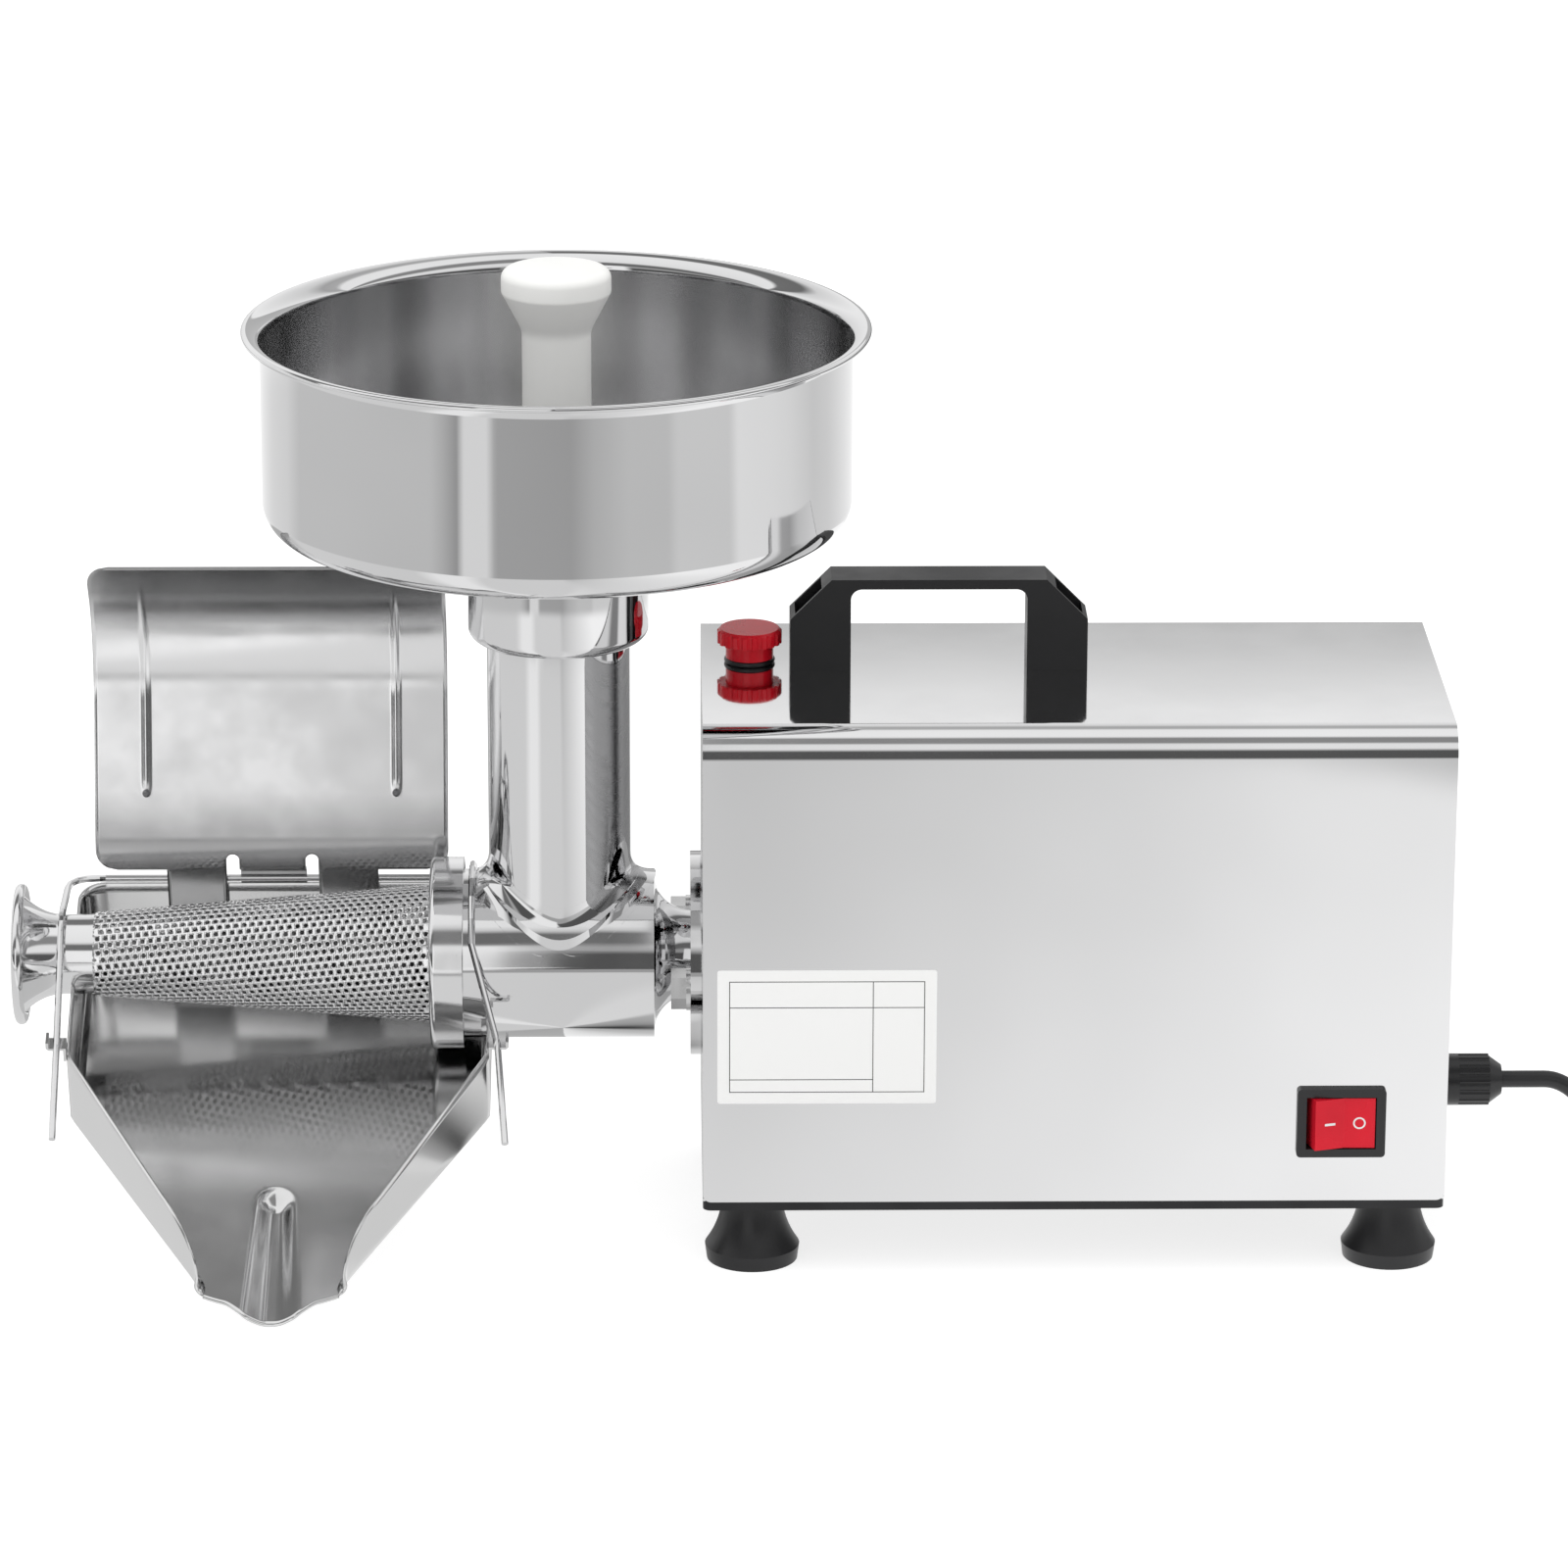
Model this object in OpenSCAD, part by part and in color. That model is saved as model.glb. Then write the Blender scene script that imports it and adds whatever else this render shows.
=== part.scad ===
/* [Housing] */
// Length of the sheet housing, from the press side to the cable side
housing_l = 268; // [250:1:300]
// Depth of the housing, front to back
housing_d = 142; // [140:1:170]
// Height of the sheet housing above its base plate
housing_h = 178; // [176:1:200]
// Sheet metal thickness of the housing and its plates
housing_t = 1; // [0.8:0.1:1.5]
// Outside radius of the long bends along the top edges
housing_bend_r = 10.5; // [6:0.5:16]
// Thickness of the base plate
base_t = 3.2; // [2:0.1:4]
// Width of the flange turned inwards along each lower edge
housing_lip_w = 8; // [5:1:12]
// Number of cooling slots in each row of the cable side plate
vent_count = 9; // [5:1:12]
// Number of rows of cooling slots
vent_rows = 2; // [1:1:2]

/* [Feet] */
// Height of a rubber foot
foot_h = 25; // [20:1:35]
// Largest radius of a foot
foot_r = 17.2; // [12:0.1:18]
// Radius of the neck of a foot
foot_neck_r = 10.9; // [8:0.1:11]
// Height at which a foot is widest
foot_ring_h = 5.4; // [4:0.1:8]
// Distance of a foot's centre from the end of the housing
foot_inset_x = 18; // [18:0.5:40]
// Distance of a foot's centre from the front or back face
foot_inset_y = 19; // [19:0.5:40]

/* [Carry handle] */
// Overall length of the bridge handle
handle_l = 108; // [100:1:118]
// Depth of the handle, front to back
handle_d = 18; // [16:0.5:24]
// Height of the handle above the housing
handle_h = 34; // [32:1:45]
// Width of each leg
handle_leg_w = 22; // [20:0.5:26]
// Thickness of the grip bar
handle_bar_t = 3.6; // [3:0.1:6]
// Size of the slanted shoulders
handle_chamfer = 15; // [10:0.5:17]
// Distance of the handle's near end from the press side of the housing
handle_x = 32.2; // [31:0.5:60]
// Offset of the handle and the oil cap behind the middle of the housing
handle_y = 12.5; // [0:0.5:20]

/* [Oil filler] */
// Radius of the knurled cap head
cap_head_r = 11.8; // [10.5:0.1:13]
// Height of the knurled cap head
cap_head_h = 5.4; // [5:0.1:9]
// Radius of the cap's smooth neck
cap_neck_r = 8.7; // [8.4:0.1:9.5]
// Height of the cap's smooth neck
cap_neck_h = 5.6; // [3:0.1:8]
// Distance of the cap from the press side of the housing
cap_x = 17.6; // [17:0.5:18]
// Number of grooves round the cap head
cap_grooves = 20; // [14:1:24]

/* [Switch] */
// Length of the switch frame
switch_w = 32; // [30:0.5:34]
// Height of the switch frame
switch_h = 26; // [24:0.5:28]
// Length of the rocker
rocker_w = 24.4; // [22:0.1:25]
// Height of the rocker
rocker_h = 19; // [17:0.1:20]
// How far the switch frame stands out of the front face
switch_proud = 2.2; // [1.5:0.1:3]
// Distance of the switch from the cable side of the housing
switch_inset_x = 38.2; // [34:0.5:50]
// Height of the switch centre above the table
switch_z = 58.6; // [50:0.5:80]
// Angle between the two positions of the rocker
rocker_throw = 16; // [12:1:18]

/* [Cable gland and cord] */
// Height of the cable gland above the table
gland_z = 48.3; // [44:0.5:70]
// Largest diameter of the gland's nut
gland_d = 19.2; // [17:0.1:22]
// Length of the gland's hexagon against the housing
gland_hex_t = 5; // [4:0.5:7]
// Length of the ribbed clamping nut
gland_nut_l = 17.8; // [14:0.1:20]
// Length of the domed end of the nut
gland_dome_l = 4.7; // [4:0.1:6]
// Diameter of the mains cord
cord_d = 6.3; // [5.5:0.1:7]

/* [Gear train and motor] */
// Module of the second gear stage
stage2_module = 1.5; // [1.5:0.05:1.6]
// Module of the first gear stage
stage1_module = 1.25; // [1.2:0.05:1.3]
// Teeth of the output gear
output_teeth = 55; // [50:1:56]
// Teeth of the lay shaft's pinion
lay_pinion_teeth = 15; // [15:1:16]
// Teeth of the lay shaft's gear
lay_gear_teeth = 50; // [46:1:52]
// Teeth of the motor's pinion
motor_pinion_teeth = 15; // [15:1:16]
// Radius of the output shaft
output_shaft_r = 9; // [8:0.5:10]
// Radius of the lay shaft
lay_shaft_r = 6; // [5:0.5:7]
// Radius of the motor shaft
motor_shaft_r = 5; // [4:0.5:6]
// Radius of the motor's stator
stator_r = 46; // [42:1:48]
// Length of the motor's stator pack
stator_l = 90; // [70:1:100]

/* [Press head] */
// Height of the press axis above the table
axis_z = 99; // [92:1:110]
// Radius of the barrel
barrel_r = 31; // [30.5:0.5:34]
// Wall of the barrel and the feed tube
barrel_wall = 2.5; // [2:0.1:3.5]
// Distance from the housing to the shoulder of the barrel
barrel_start = 17.4; // [17:0.1:22]
// Length of the barrel from its shoulder to its open end
barrel_l = 77; // [75:0.5:85]
// Radius of the neck next to the housing
neck_r = 15.5; // [15:0.5:17]
// Radius of the flange that seats on the housing
flange_r = 37.5; // [36:0.5:40]
// Thickness of that flange
flange_t = 4.2; // [3.5:0.1:5]
// Distance of the feed tube's centre from the housing
tube_s = 51.7; // [50.5:0.1:54]
// Radius of the feed tube
tube_r = 26; // [25:0.1:27]
// Height of the feed tube's rim above the press axis
tube_h = 164; // [155:1:170]
// Radius on which the two clamping bolts lie
bolt_circle_r = 27; // [26:0.5:28]
// Turn of the two clamping bolts about the press axis
bolt_turn = 10; // [0:1:20]
// Radius of a clamping bolt
bolt_r = 4; // [3.5:0.5:4.5]
// Radius of the auger's flight
auger_r = 27; // [25:0.5:27.5]
// Pitch of the auger
auger_pitch = 30; // [24:1:36]

/* [Screen cone and outlet] */
// Length of the perforated cone
screen_l = 125; // [110:1:140]
// Outside radius of the cone at the barrel
screen_big_r = 24.8; // [23:0.1:26]
// Outside radius of the cone at its small end
screen_small_r = 14.6; // [14:0.1:16]
// Sheet thickness of the cone
screen_t = 1; // [0.8:0.1:1.5]
// Diameter of a hole in the cone
screen_hole_d = 3; // [1.5:0.1:3.4]
// Rows of holes along the cone
screen_rows = 17; // [12:1:19]
// Holes in one row
screen_row_holes = 14; // [10:1:16]
// Radius of the waste outlet's rolled rim
outlet_r = 25.8; // [24:0.1:28]
// Length of the flared waste outlet
outlet_l = 22; // [20:0.5:26]
// Length of the collar on the cone's small end
end_collar_l = 5; // [4:0.5:7]
// Radius of the bayonet ring
ring_r = 35.4; // [35:0.1:36]
// Width of the bayonet ring
ring_w = 12.2; // [12:0.1:14]
// Angle by which the bayonet ring turns to lock
ring_turn = 35; // [25:1:40]

/* [Hopper and pusher] */
// Outside radius of the hopper's wall
pan_r = 106; // [100:1:112]
// Radius over the hopper's flared rim
pan_rim_r = 112.7; // [108:0.1:120]
// Height of the hopper pan
pan_h = 73; // [60:1:90]
// Sheet thickness of the hopper
pan_t = 0.9; // [0.7:0.1:1.2]
// Radius of the hopper's bottom corner
pan_corner_r = 10; // [6:0.5:14]
// Outside radius of the hopper's socket
socket_r = 32.7; // [32:0.1:34]
// Length of the hopper's socket below the pan
socket_l = 43; // [35:1:50]
// Radius of the pusher's head
pusher_head_r = 19.7; // [17:0.1:22]
// Radius of the pusher's shaft
pusher_shaft_r = 12.4; // [11:0.1:14]
// Height of the pusher's top above the hopper's rim
pusher_proud = 21; // [15:1:40]

/* [Juice tray] */
// Width of the tray
tray_w = 155; // [150:1:158]
// Sheet thickness of the tray
tray_t = 1; // [0.8:0.1:1.5]
// Slope of the tray's floor
tray_tilt = 21.5; // [18:0.5:22]
// Distance of the tray's floor below the press axis, square to the floor
tray_depth = 39.1; // [38.5:0.1:40]
// Distance of the tray's back wall behind the press axis
tray_rear = 40.5; // [40:0.5:44]
// Distance of the tray's shoulders in front of the press axis
tray_shoulder = 49; // [46:0.5:52]
// Distance of the lip in front of the press axis
tray_lip = 140; // [134:0.5:142]
// Width of the tray at its lip
tray_lip_w = 52; // [46:1:60]
// Radius of the tray's rear corners
tray_corner_r = 11; // [8:0.5:14]
// Width of the pouring channel at the lip
channel_w = 22; // [18:1:26]

/* [Splash guard] */
// Width of the splash guard
guard_w = 130; // [126:1:134]
// Height of the guard's flat plate
guard_plate_l = 78; // [60:1:82]
// Length of the guard's top strip, which leans over the cone
guard_strip_l = 36; // [20:1:40]
// Sheet thickness of the guard
guard_t = 0.8; // [0.8:0.1:1]
// Backward lean of the guard's plate
guard_lean_back = 12; // [5:1:15]
// Forward lean of the guard's top strip
guard_lean_over = 40; // [20:1:45]

/* [Wire bail] */
// Radius of the bail's wire
wire_r = 1.3; // [1.2:0.05:1.5]

/* [Clearances] */
// Radial running clearance of a shaft in its bearing
run_gap = 0.05; // [0.03:0.01:0.08]
// Gap between parts that slide or stand close together
slide_gap = 0.4; // [0.3:0.05:0.5]
// Radial play of the hopper's socket on the feed tube
socket_gap = 0.6; // [0.4:0.1:0.8]
// Side play between two meshing teeth
backlash = 0.25; // [0.2:0.05:0.4]

/* [Hidden] */
$fn = 96;
eps = 0.2;
dark = [0.1, 0.1, 0.1];

// Housing levels
base_z = foot_h;
housing_z = base_z + base_t;
top_z = housing_z + housing_h;
half_d = housing_d / 2;
inner_d = half_d - housing_t;
seam_gap = 0.2;
plate_lip_w = 6;
plate_inset = housing_t + seam_gap;
nose_hole_r = 20;
vent_l = 26;
vent_w = 4;
vent_step = 9.5;
vent_z = 84;
lip_corner_r = 3;

// Feet
foot_recess_r = 7;
foot_recess_h = 13;
foot_screw_r = 2.5;
foot_screw_head_r = 5;
foot_screw_head_h = 3.5;
foot_taper = 0.7;
foot_waist = foot_r - foot_neck_r;
foot_flare_h = foot_h - foot_ring_h;
foot_flare_r = (foot_waist * foot_waist + foot_flare_h * foot_flare_h) / (2 * foot_waist);
foot_place = [for (x = [foot_inset_x, housing_l - foot_inset_x], y = [-1, 1] * (half_d - foot_inset_y)) [x, y]];

// Handle
handle_wall = 1.8;
handle_inner_r = 4;
handle_floor = 5;
handle_screw_r = 2.5;
handle_screw_head_r = 4.5;
handle_screw_head_h = 3;
handle_screw_tip = 1;

// Oil cap
cap_ring_h = 2;
cap_ring_r = 9.3;
cap_stem_r = 5.8;
cap_stem_l = 12;
cap_groove_r = 1.1;
cap_dome_h = 1.2;
neck_tube_wall = 2.4;
neck_tube_r = cap_stem_r + neck_tube_wall;
neck_tube_collar_r = 10.4;
neck_tube_collar_h = 1.6;
neck_tube_foot = 6;
cap_behind = 2;
cap_y = handle_y + cap_behind;

// Switch
switch_x = housing_l - switch_inset_x;
switch_depth = 21;
switch_box_w = 27.4;
switch_box_h = 21.6;
switch_corner_r = 1.5;
rocker_pivot_d = 6;
rocker_pin_r = 1.5;
rocker_edge = 1.2;
rocker_gap = 0.4;
terminal_w = 6.3;
terminal_t = 0.8;
terminal_l = 8;

// Cable gland
gland_rib_count = 18;
gland_collar_l = 6.5;
gland_rib_r = 1.1;
gland_dome_tip_r = 5.6;
gland_thread_r = 7.6;
gland_thread_l = 8;
gland_lock_t = 4;
gland_lock_gap = 0.3;
gland_end_x = housing_l + gland_hex_t + gland_nut_l + gland_dome_l;

// Mains cord: the lead runs from the gland to the coil, the tail on to the plug
cord_r = cord_d / 2;
cord_sides = 8;
coil_sides = 6;
coil_turns_in = 3;
coil_turns_out = 3.25;
coil_step = 6.8;
coil_rise = 6.9;
coil_rings_per_turn = 24;
coil_out_r = 44.5;
coil_x = 381;
coil_z = 3.4;
coil_y = coil_out_r;
coil_in_r = coil_out_r - coil_step * coil_turns_in;
coil_turns = coil_turns_in + coil_turns_out;
plug_axis_z = 19.3;
lead_straight = 16;
lead_start_pull = 21;
lead_end_pull = 37;
tail_l = 47.2;
tail_pull = 18;
route_steps = 10;
plug_boot_r = 5.5;
plug_boot_l = 22;
plug_neck_r = 10;
plug_grip_r = 13;
plug_grip_l = 14;
plug_face_r = 18.8;
plug_face_l = 18;
plug_pin_r = 2.4;
plug_pin_l = 19;
plug_pin_spacing = 19;

// Gear train
pressure_angle = 20;
addendum_share = 0.9;
dedendum_share = 1.2;
flank_steps = 4;
lay_y = 26;
stage2_distance = stage2_module * (output_teeth + lay_pinion_teeth) / 2;
stage1_distance = stage1_module * (lay_gear_teeth + motor_pinion_teeth) / 2;
lay_z = axis_z + sqrt(pow(stage2_distance, 2) - pow(lay_y, 2));
motor_y = lay_y - stage1_distance;
motor_z = lay_z;
case_wall = 4.5;
case_gap = 2.5;
case_x = housing_t;
case_front_t = 6;
output_gear_x = 11;
output_gear_w = 14;
pinion_extra = 1;
lay_gear_x = 30;
lay_gear_w = 9;
case_l = 46;
gasket_t = 0.8;
cover_t = 7;
cover_x = case_x + case_l + gasket_t;
case_out_r = stage2_module * output_teeth / 2 + stage2_module + case_gap;
case_lay_r = stage1_module * lay_gear_teeth / 2 + stage1_module + case_gap;
case_motor_r = 16;
bearing_w = 5;
bearing_ring_t = 4;
case_bolt_r = 2.5;
case_bolt_head_r = 4.3;
case_bolt_head_h = 3;
case_bolt_pad_r = 7;
case_bolt_pad_out = 1.5;
nose_r = 17;
nose_reach = 2;
nose_l = case_x + nose_reach;
hub_r = 15;
lay_hub_r = 10;
web_t = 6;
output_shaft_in = cover_x + bearing_w - slide_gap;
lay_shaft_x0 = case_x + case_front_t - bearing_w + slide_gap;
lay_shaft_x1 = output_shaft_in;

// Motor
bell_t = 5;
bell_depth = 22;
bell_wall = 3;
motor_space = 4;
motor_x = cover_x + cover_t + motor_space;
stator_x = motor_x + bell_depth;
rotor_r = 25;
rotor_gap = 0.6;
rear_bell_x = stator_x + stator_l;
motor_end_x = rear_bell_x + bell_depth;
fan_space = 3;
fan_x = motor_end_x + fan_space;
fan_w = 9;
fan_r = 40;
fan_hub_r = 10;
fan_blades = 8;
fan_blade_t = 1.5;
fan_disc_t = 1.5;
motor_bearing_ring_t = 6;
bell_port_r = 6;
bell_port_count = 8;
stator_slots = 24;
stator_slot_in = 6;
stator_slot_l = 9;
stator_slot_w = 2;
cradle_w = 30;
cradle_t = 3;
cradle_span = 60;
capacitor_r = 17;
capacitor_l = 70;
capacitor_gap = 3;
terminal_size = [30, 18, 14];
terminal_y = 18;

// Press head
bore_r = barrel_r - barrel_wall;
seal_wall = 6;
seal_r = 12;
seal_w = 6;
neck_bore_gap = 0.6;
neck_bore_r = output_shaft_r + neck_bore_gap;
flare_r = 14;
barrel_end = barrel_start + barrel_l;
tube_bore_r = tube_r - barrel_wall;
saddle_t = 1.6;
saddle_w = 3;
lug_count = 3;
lug_h = 2.2;
lug_w = 4;
lug_angle = 18;
lug_back = 1.7;
lug_entry_play = 6;
bolt_slot_w = 9.4;
bolt_head_af = 13;
bolt_head_h = 5.5;
washer_r = 8;
washer_t = 1.6;
bolt_grip = 5;
drive_af = 12;
drive_l = 12;
drive_gap = 0.15;
auger_thrust_gap = 1.5;
auger_start = barrel_start + seal_wall + auger_thrust_gap;
auger_core_r = 12;
auger_taper_end_r = 12.4;
auger_slices_per_turn = 12;
auger_flight_angle = 50;
auger_cone_flight_angle = 46;
auger_end_gap = 2;
auger_core_points = 16;
auger_arc_points = 4;

// Screen, ring and outlet
gasket_screen_t = 0.8;
screen_flange_t = 1.6;
screen_flange_r = barrel_r;
screen_start = barrel_end + gasket_screen_t;
ring_lip_t = 2.2;
ring_end = screen_start + screen_flange_t + slide_gap / 2 + ring_lip_t;
ring_start = ring_end - ring_w;
ring_round_r = 2;
ring_bore_r = barrel_r + slide_gap;
ring_lip_bore_r = screen_big_r + slide_gap;
ring_entry_r = barrel_r + lug_h + slide_gap;
ring_groove_r = ring_entry_r + slide_gap / 2;
lug_s = barrel_end - lug_back - lug_w;
ring_rim_w = lug_s - slide_gap / 2 - ring_start;
screen_end = ring_end + screen_l;
screen_cone_start = ring_end - ring_lip_t - slide_gap / 2;
screen_cone_l = screen_end - screen_cone_start;
rim_roll_r = 2;
outlet_neck_r = screen_small_r;
outlet_neck_l = 4;
outlet_t = 1;
outlet_flare_w = outlet_r - 2 * rim_roll_r + outlet_t - outlet_neck_r;
outlet_flare_l = outlet_l - outlet_neck_l - rim_roll_r;
outlet_flare_r = (outlet_flare_w * outlet_flare_w + outlet_flare_l * outlet_flare_l) / (2 * outlet_flare_w);
outlet_end = screen_end + end_collar_l + outlet_l;
hole_margin = 7;

// Hopper and pusher
pan_z = axis_z + tube_h + slide_gap;
rim_z = pan_z + pan_h;
pan_flare_r = pan_rim_r - pan_r;
socket_bore_r = tube_r + socket_gap;
socket_round_r = 4.5;
pusher_top_z = rim_z + pusher_proud;
pusher_head_h = 8.5;
pusher_taper_h = 14;
pusher_round_r = 3.5;
pusher_foot_r = 21;
pusher_foot_h = 10;
pusher_foot_taper = 14;
pusher_gap = 0.4;
pusher_z = axis_z + auger_r + pusher_gap;

// Tray, in its own tilted frame: y runs up the slope, z square to the floor
tray_shift = 10.3;
tray_s = (ring_end + screen_end + end_collar_l) / 2 - tray_shift;
half_tray = tray_w / 2;
rod_y = 38.1;
rod_z = 4;
wall_top_rear = 1;
wall_top_shoulder = -6;
wall_top_front = -15;
wall_front_y = 115;
wall_front_r = tray_depth + wall_top_front;
lip_sag = 7;
notch_gap = 0.8;
knuckle_r = 2.4;
knuckle_w = 17;
knuckle_bore_r = wire_r + run_gap;
channel_l = 58;
channel_small_w = 15;
channel_depth = 3.4;
channel_reach = 12;
hook_w = 6;
hook_out = 6.2;
hook_lip_h = 3.6;
hook_rise = 3;
hook_t = 1;

// Splash guard
guard_offset = 4.4;
guard_tab_in = 17;
guard_tab_out = 39;
guard_slot_in = 12.2;
guard_tab_l = 34;
guard_slot_h = 4;
guard_corner_r = 8;
guard_bend_r = 15;
guard_foot_r = 8;
guard_bend_steps = 8;
guard_rib_w = 5;
guard_rib_h = 0.9;
guard_rib_x = 46;
guard_rib_start = 40;
guard_clip_l = 12;
guard_clip_gap = 0.35;

// Bail
arm_out = 2.2;
arm_in = 6;
arm_sides = 10;
arm_bend_r = 11;
arm_small_bend_r = 3;
arm_tail_l = 37;
arm_tail_drop = 12;
arm_splay = 3;
neck_arm_gap = 1.6;
bend_steps = 4;
over_steps = 6;
rod_end = half_tray - tray_corner_r;
arm_slim = 0.04;
arm_root = 1.5;

// The origin is under the middle of the machine
front_reach = tray_lip * cos(tray_tilt) - tray_depth * sin(tray_tilt) + channel_reach * cos(tray_tilt);
origin_x = (gland_end_x - outlet_end) / 2;
origin_y = (pan_rim_r - front_reach) / 2;

// Frames
module lift(z) { translate([0, 0, z]) children(); }
module aim_x() { rotate([0, 90, 0]) children(); }
module machine() { translate([-origin_x, -origin_y, 0]) children(); }
module head_frame() { machine() lift(axis_z) rotate([0, -90, 0]) children(); }
module drive_frame(y, z, x = 0) { machine() translate([x, y, z]) aim_x() children(); }
module tray_frame() { machine() translate([-tray_s, 0, axis_z]) rotate([tray_tilt, 0, 0]) children(); }
function drive_angle(dy, dz) = atan2(dy, -dz);

// Housing
module housing_section(inset) {
  r = housing_bend_r - inset;
  w = half_d - inset;
  h = housing_h - inset;
  for (side = [-1, 1]) translate([side * (w - r), h - r]) circle(r);
  translate([-w, 0]) square([2 * w, h - r]);
  translate([-(w - r), 0]) square([2 * (w - r), h]);
}

module along_x(length) { rotate([90, 0, 90]) linear_extrude(length) children(); }

module housing_wrap() {
  color("gainsboro") machine() difference() {
    lift(housing_z) along_x(housing_l) difference() {
      housing_section(0);
      difference() {
        housing_section(housing_t);
        for (side = [-1, 1]) translate([side * (inner_d - housing_lip_w / 2) - housing_lip_w / 2, 0])
          square([housing_lip_w, housing_t]);
      }
    }
    translate([switch_x - switch_box_w / 2 - seam_gap, -half_d - eps, switch_z - switch_box_h / 2 - seam_gap])
      cube([switch_box_w + 2 * seam_gap, housing_t + 2 * eps, switch_box_h + 2 * seam_gap]);
    translate([cap_x, cap_y, top_z - housing_t - eps]) cylinder(r = neck_tube_r + seam_gap, h = housing_t + 2 * eps);
    for (x = handle_screw_x) translate([x, handle_y, top_z - housing_t - eps])
      cylinder(r = handle_screw_r + seam_gap, h = housing_t + 2 * eps);
    for (end = [0, 1], side = [-1, 1]) translate([end * housing_l, side * half_d, housing_z]) housing_corner_cut();
  }
}

module housing_corner_cut() {
  rotate([90, 0, 0]) lift(-housing_t - eps) linear_extrude(2 * (housing_t + eps)) difference() {
    square(2 * lip_corner_r, center = true);
    for (side = [-1, 1]) translate([side * lip_corner_r, lip_corner_r]) circle(lip_corner_r);
  }
}

module end_plate_sheet() {
  along_x(housing_t) plate_section(plate_inset, plate_inset);
  along_x(plate_lip_w) difference() {
    plate_section(plate_inset, housing_bend_r);
    housing_section(plate_inset + housing_t);
  }
}

module plate_section(inset, bottom) {
  difference() {
    housing_section(inset);
    translate([-half_d, -eps]) square([housing_d, bottom + eps]);
  }
}

module left_end_plate() {
  color("gainsboro") machine() difference() {
    lift(housing_z) end_plate_sheet();
    translate([-eps, 0, axis_z]) aim_x() cylinder(r = nose_hole_r, h = housing_t + 2 * eps);
    for (side = [-1, 1]) bolt_place(side) lift(-housing_t - eps)
      cylinder(r = bolt_r + seam_gap, h = housing_t + 2 * eps);
  }
}

module right_end_plate() {
  color("gainsboro") machine() difference() {
    translate([housing_l, 0, housing_z]) mirror([1, 0, 0]) end_plate_sheet();
    translate([housing_l - housing_t - eps, 0, gland_z]) aim_x()
      cylinder(r = gland_thread_r + seam_gap, h = housing_t + 2 * eps);
    for (row = [0:vent_rows - 1], i = [0:vent_count - 1])
      translate([housing_l - housing_t - eps, (row - (vent_rows - 1) / 2) * (vent_l + 2 * vent_step) - vent_l / 2,
        vent_z + i * vent_step]) vent_slot();
  }
}

module vent_slot() {
  rotate([90, 0, 90]) linear_extrude(housing_t + 2 * eps) {
    translate([vent_w / 2, 0]) circle(vent_w / 2);
    translate([vent_l - vent_w / 2, 0]) circle(vent_w / 2);
    translate([vent_w / 2, -vent_w / 2]) square([vent_l - vent_w, vent_w]);
  }
}

module base_plate() {
  color("silver") machine() difference() {
    union() {
      translate([lip_corner_r, -half_d, base_z]) cube([housing_l - 2 * lip_corner_r, housing_d, base_t]);
      translate([0, -half_d + lip_corner_r, base_z]) cube([housing_l, housing_d - 2 * lip_corner_r, base_t]);
      for (x = [lip_corner_r, housing_l - lip_corner_r], y = [-1, 1] * (half_d - lip_corner_r))
        translate([x, y, base_z]) cylinder(r = lip_corner_r, h = base_t);
    }
    for (p = foot_place) translate([p[0], p[1], base_z - eps]) cylinder(r = foot_screw_r + seam_gap, h = base_t + 2 * eps);
  }
}

// Feet
module foot_profile() {
  difference() {
    polygon([[0, 0], [foot_r - foot_taper, 0], [foot_r, foot_ring_h], [foot_r, foot_h], [0, foot_h]]);
    translate([foot_neck_r + foot_flare_r, foot_h]) circle(foot_flare_r);
    square([foot_recess_r, foot_recess_h]);
    square([foot_screw_r + seam_gap, foot_h]);
  }
}

module rubber_feet() {
  color(dark) machine() for (p = foot_place)
    translate([p[0], p[1], 0]) rotate_extrude() foot_profile();
}

module foot_screws() {
  color("silver") machine() for (p = foot_place) translate([p[0], p[1], 0]) {
    lift(foot_recess_h - foot_screw_head_h) cylinder(r = foot_screw_head_r, h = foot_screw_head_h);
    lift(foot_recess_h) cylinder(r = foot_screw_r, h = foot_h - foot_recess_h + base_t + foot_screw_head_h);
  }
}

// Carry handle
handle_screw_x = [handle_x + handle_leg_w / 2, handle_x + handle_l - handle_leg_w / 2];

module handle_outline(inset) {
  c = handle_chamfer;
  polygon([
    [inset, 0], [inset, handle_h - c], [c, handle_h - inset], [handle_l - c, handle_h - inset],
    [handle_l - inset, handle_h - c], [handle_l - inset, 0]
  ]);
}

module handle_window() {
  r = handle_inner_r;
  w = handle_l - 2 * handle_leg_w;
  h = handle_h - handle_bar_t;
  translate([handle_leg_w, -eps]) square([w, h - r + eps]);
  translate([handle_leg_w + r, -eps]) square([w - 2 * r, h + eps]);
  for (x = [handle_leg_w + r, handle_l - handle_leg_w - r]) translate([x, h - r]) circle(r);
}

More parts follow.
